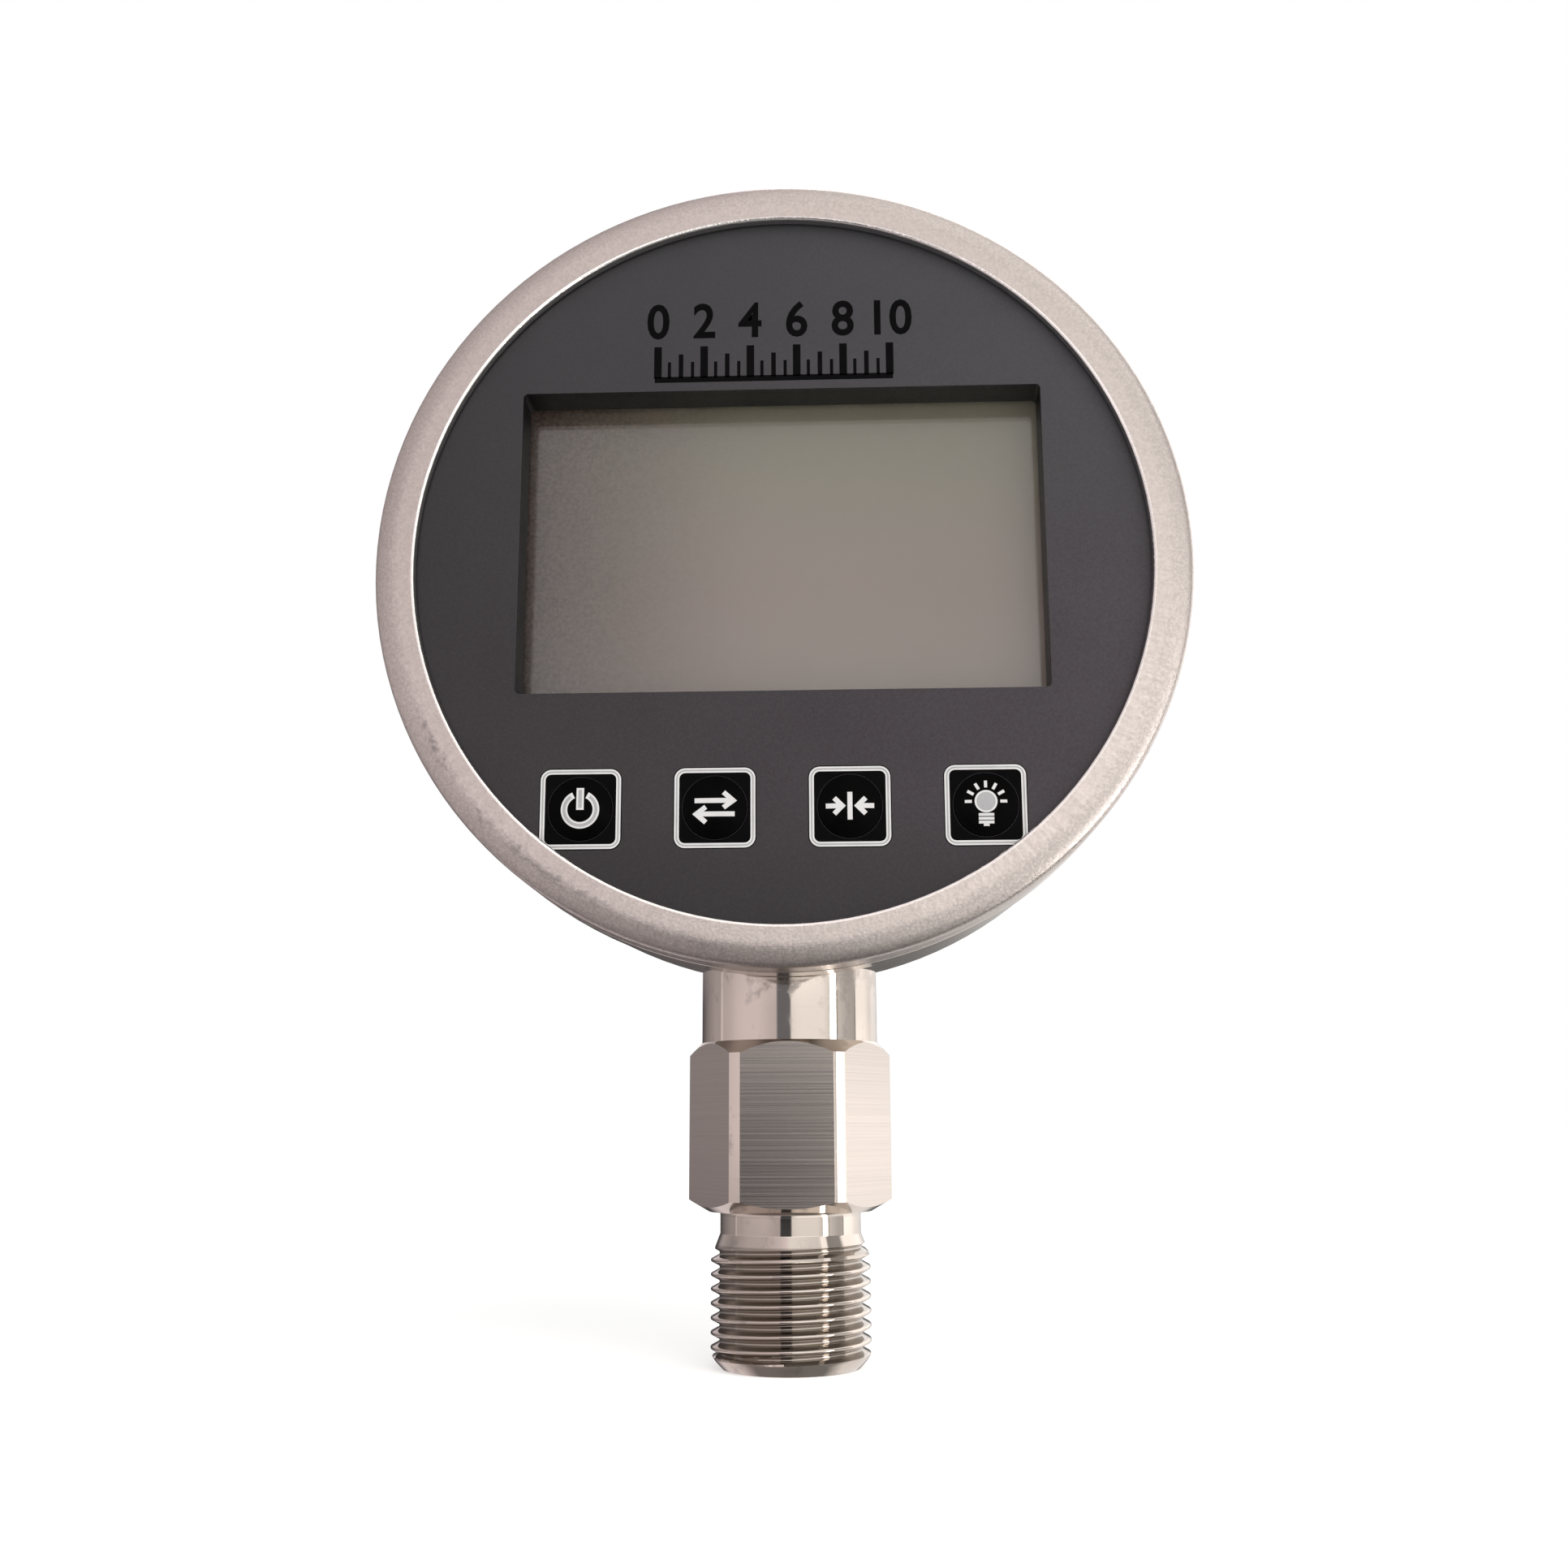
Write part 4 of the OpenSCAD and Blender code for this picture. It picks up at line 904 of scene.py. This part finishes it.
class GAUGE_OT_stage(bpy.types.Operator):
    """Floor, soft light, the cards that the steel mirrors, and the camera"""
    bl_idname = "gauge.stage"
    bl_label = "Stage, light and camera"

    def execute(self, context):
        self.floor(context.scene.gauge_colours)
        self.cards()
        self.lights(context.scene)
        self.camera(context.scene)
        return {"FINISHED"}

    def sheet(self, name, grid, stuff):
        """Makes a sheet of the stage from its grid, with an empty material."""
        made = placed(name, mesh_of(name, grid.reshape(-1, 3), cells(grid).tolist()))
        material = bpy.data.materials.new(stuff)
        made.data.materials.append(material)
        return made, nodes_for(material)

    def floor(self, c):
        """A level sheet 8 m wide, whose own white shows to the camera and in glass; steel mirrors the cards
        in its place."""
        x, y = np.meshgrid(np.linspace(-4, 4, 9), np.linspace(-4, 4, 9))
        made, node = self.sheet("floor", np.stack([x, y, 0 * x], -1), "Paper, white")
        made.visible_glossy = False
        path = node("LightPath").outputs
        seen = node("Math MAXIMUM", (path["Is Camera Ray"], path["Is Transmission Ray"]))
        lift = node("Math MULTIPLY", (seen, FLOOR_GLOW))
        paper = node("BsdfDiffuse", {"Color": rgba(c.floor)})
        glow = node("Emission", {"Color": rgba(c.floor), "Strength": lift})
        node("OutputMaterial", (node("AddShader", (paper, glow)),))

    def cards(self):
        """A dome of glowing card round the gauge, seen by steel alone. Its tones are given for some heights
        over the horizon, each by azimuth, and blend in between; a dark card stands before the gauge. A point
        lies at the radius times (cos height sin azimuth, -cos height cos azimuth, sin height)."""
        columns = [at for profile in (HORIZON, SKY, HIGH) for at, _ in profile]
        across = np.unique(np.concatenate([np.linspace(-180, 180, 61), columns, CARD_ACROSS]))
        horizon, sky, high, low, foot, fall, rise, glow = (
            np.interp(across, *zip(*profile))
            for profile in (HORIZON, SKY, HIGH, LOW, FOOT, FALL, RISE, GLOW))
        front = np.clip((118 - np.abs(across)) / 25, 0, 1)
        rear = np.where(across < 0, 0.9, 1.1) * (1 - front)
        even = np.ones_like(across)
        fallen = horizon * fall
        heights, rows = zip(
            (-90, 0.2 * even), (-75, 0.25 * even), (-62, 0.25 * even), (-48, 0.37 * front + rear),
            (-30, foot * front + rear), (-17, low * front + fallen * (1 - front)), (-9, fallen),
            (-3.5, fallen), (1.5, horizon), (7, horizon * rise), (13, sky * glow), (24, sky), (33, sky),
            (45, high), (66, high), (90, 0.8 * even))
        up = np.union1d(heights, MORE_ROWS)
        share = np.array([np.interp(up, heights, row) for row in np.eye(len(heights))])
        warm, rosy, cool = (np.array(linear(code)) for code in ("#FFFCFA", "#FFF4F6", "#F4F6FF"))
        side = np.interp(across, (-5, -3, 96, 99), (1, 0, 0, 0))[:, None]
        tones = (share.T @ np.array(rows))[..., None] * (warm * (1 - side) + rosy * side)
        there = np.interp(across, CARD_ACROSS, (0, 1, 1, 0)) * np.interp(up, CARD_UP, (0, 1, 1, 0))[:, None]
        dark = np.interp(up, *zip(*CARD_TONES))[:, None]
        tones = tones * (1 - there[..., None]) + (there * dark)[..., None] * cool

        turn, height = np.meshgrid(np.radians(across), np.radians(up))
        ring = np.cos(height)
        made, node = self.sheet("studio_cards", DOME_R * np.stack(
            [ring * np.sin(turn), -ring * np.cos(turn), np.sin(height)], -1), "studio_cards")
        values = np.concatenate([tones, np.ones((*tones.shape[:2], 1))], axis=2)
        made.data.attributes.new("glow", "FLOAT_COLOR", "POINT").data.foreach_set(
            "color", values.astype(np.float32).ravel())
        made.visible_camera = made.visible_diffuse = made.visible_shadow = False
        made.visible_transmission = made.visible_volume_scatter = False
        lit = node("Emission", {"Color": node("Attribute", attribute_name="glow"), "Strength": 1.0})
        node("OutputMaterial", (lit,))

    def lights(self, scene):
        """An even pale world, white where the camera, steel or glass sees it, and one wide soft lamp."""
        scene.world = bpy.data.worlds.new("Studio")
        node = nodes_for(scene.world)
        path = node("LightPath").outputs
        seen = path["Is Camera Ray"]
        for ray in ("Is Glossy Ray", "Is Transmission Ray"):
            seen = node("Math MAXIMUM", (seen, path[ray]))
        power = node("MapRange", (seen, 0, 1, WORLD_STRENGTH, 1))
        node("OutputWorld", (node("Background", {"Color": (1, 1, 1, 1), "Strength": power}),))
        lamp = bpy.data.lights.new("soft_box", "AREA")
        lamp.shape, lamp.energy, lamp.color = "RECTANGLE", LAMP_POWER, linear("#FFF8F2")
        lamp.size, lamp.size_y = LAMP_SIZE
        holder = placed("soft_box", lamp)
        holder.location = LAMP_PLACE
        holder.rotation_euler = (DIAL_CENTRE - Vector(LAMP_PLACE)).to_track_quat("-Z", "Y").to_euler()
        holder.visible_camera = holder.visible_glossy = holder.visible_transmission = False

    def camera(self, scene):
        """The photograph's view: a 37 mm lens 20 cm before the dial and 7 cm below its middle."""
        made = bpy.data.cameras.new("camera")
        made.sensor_width = SENSOR
        made.lens = SENSOR * FOCAL_PIXELS / PHOTO_PIXELS
        made.clip_start, made.clip_end = 0.01, 50.0
        ahead = Vector(CAMERA_AHEAD).normalized()
        up = Vector(CAMERA_RIGHT).normalized().cross(ahead).normalized()
        turn = Matrix((ahead.cross(up), up, -ahead)).transposed().to_4x4()
        scene.camera = placed("camera", made)
        scene.camera.matrix_world = Matrix.Translation(CAMERA_PLACE) @ turn
        scene.view_settings.view_transform = "Standard"


class GAUGE_PT_panel(bpy.types.Panel):
    """Lists the gauge's sizes, colours and the steps that build it"""
    bl_idname = "GAUGE_PT_panel"
    bl_label = "Pressure gauge"
    bl_space_type = "VIEW_3D"
    bl_region_type = "UI"
    bl_category = "Gauge"

    def draw(self, context):
        for name, group in GROUPS.items():
            box = self.layout.box()
            box.label(text=name.removeprefix("gauge_").capitalize())
            for size in group.__annotations__:
                box.prop(getattr(context.scene, name), size)
        for step in STEPS:
            self.layout.operator(step.bl_idname)


STEPS = (GAUGE_OT_stem, GAUGE_OT_housing, GAUGE_OT_face, GAUGE_OT_inner, GAUGE_OT_prints,
         GAUGE_OT_symbols, GAUGE_OT_stage)
GROUPS = {"gauge_stem": GaugeStemSizes, "gauge_prints": GaugePrintSizes, "gauge_colours": GaugeColours}
CLASSES = (*GROUPS.values(), *STEPS, GAUGE_PT_panel)


def register():
    for made in CLASSES:
        bpy.utils.register_class(made)
    for name, group in GROUPS.items():
        setattr(bpy.types.Scene, name, bpy.props.PointerProperty(type=group))


def unregister():
    for name in GROUPS:
        delattr(bpy.types.Scene, name)
    for made in reversed(CLASSES):
        bpy.utils.unregister_class(made)


def main():
    register()
    for step in STEPS:
        group, name = step.bl_idname.split(".")
        getattr(getattr(bpy.ops, group), name)()


if __name__ == "__main__":
    main()
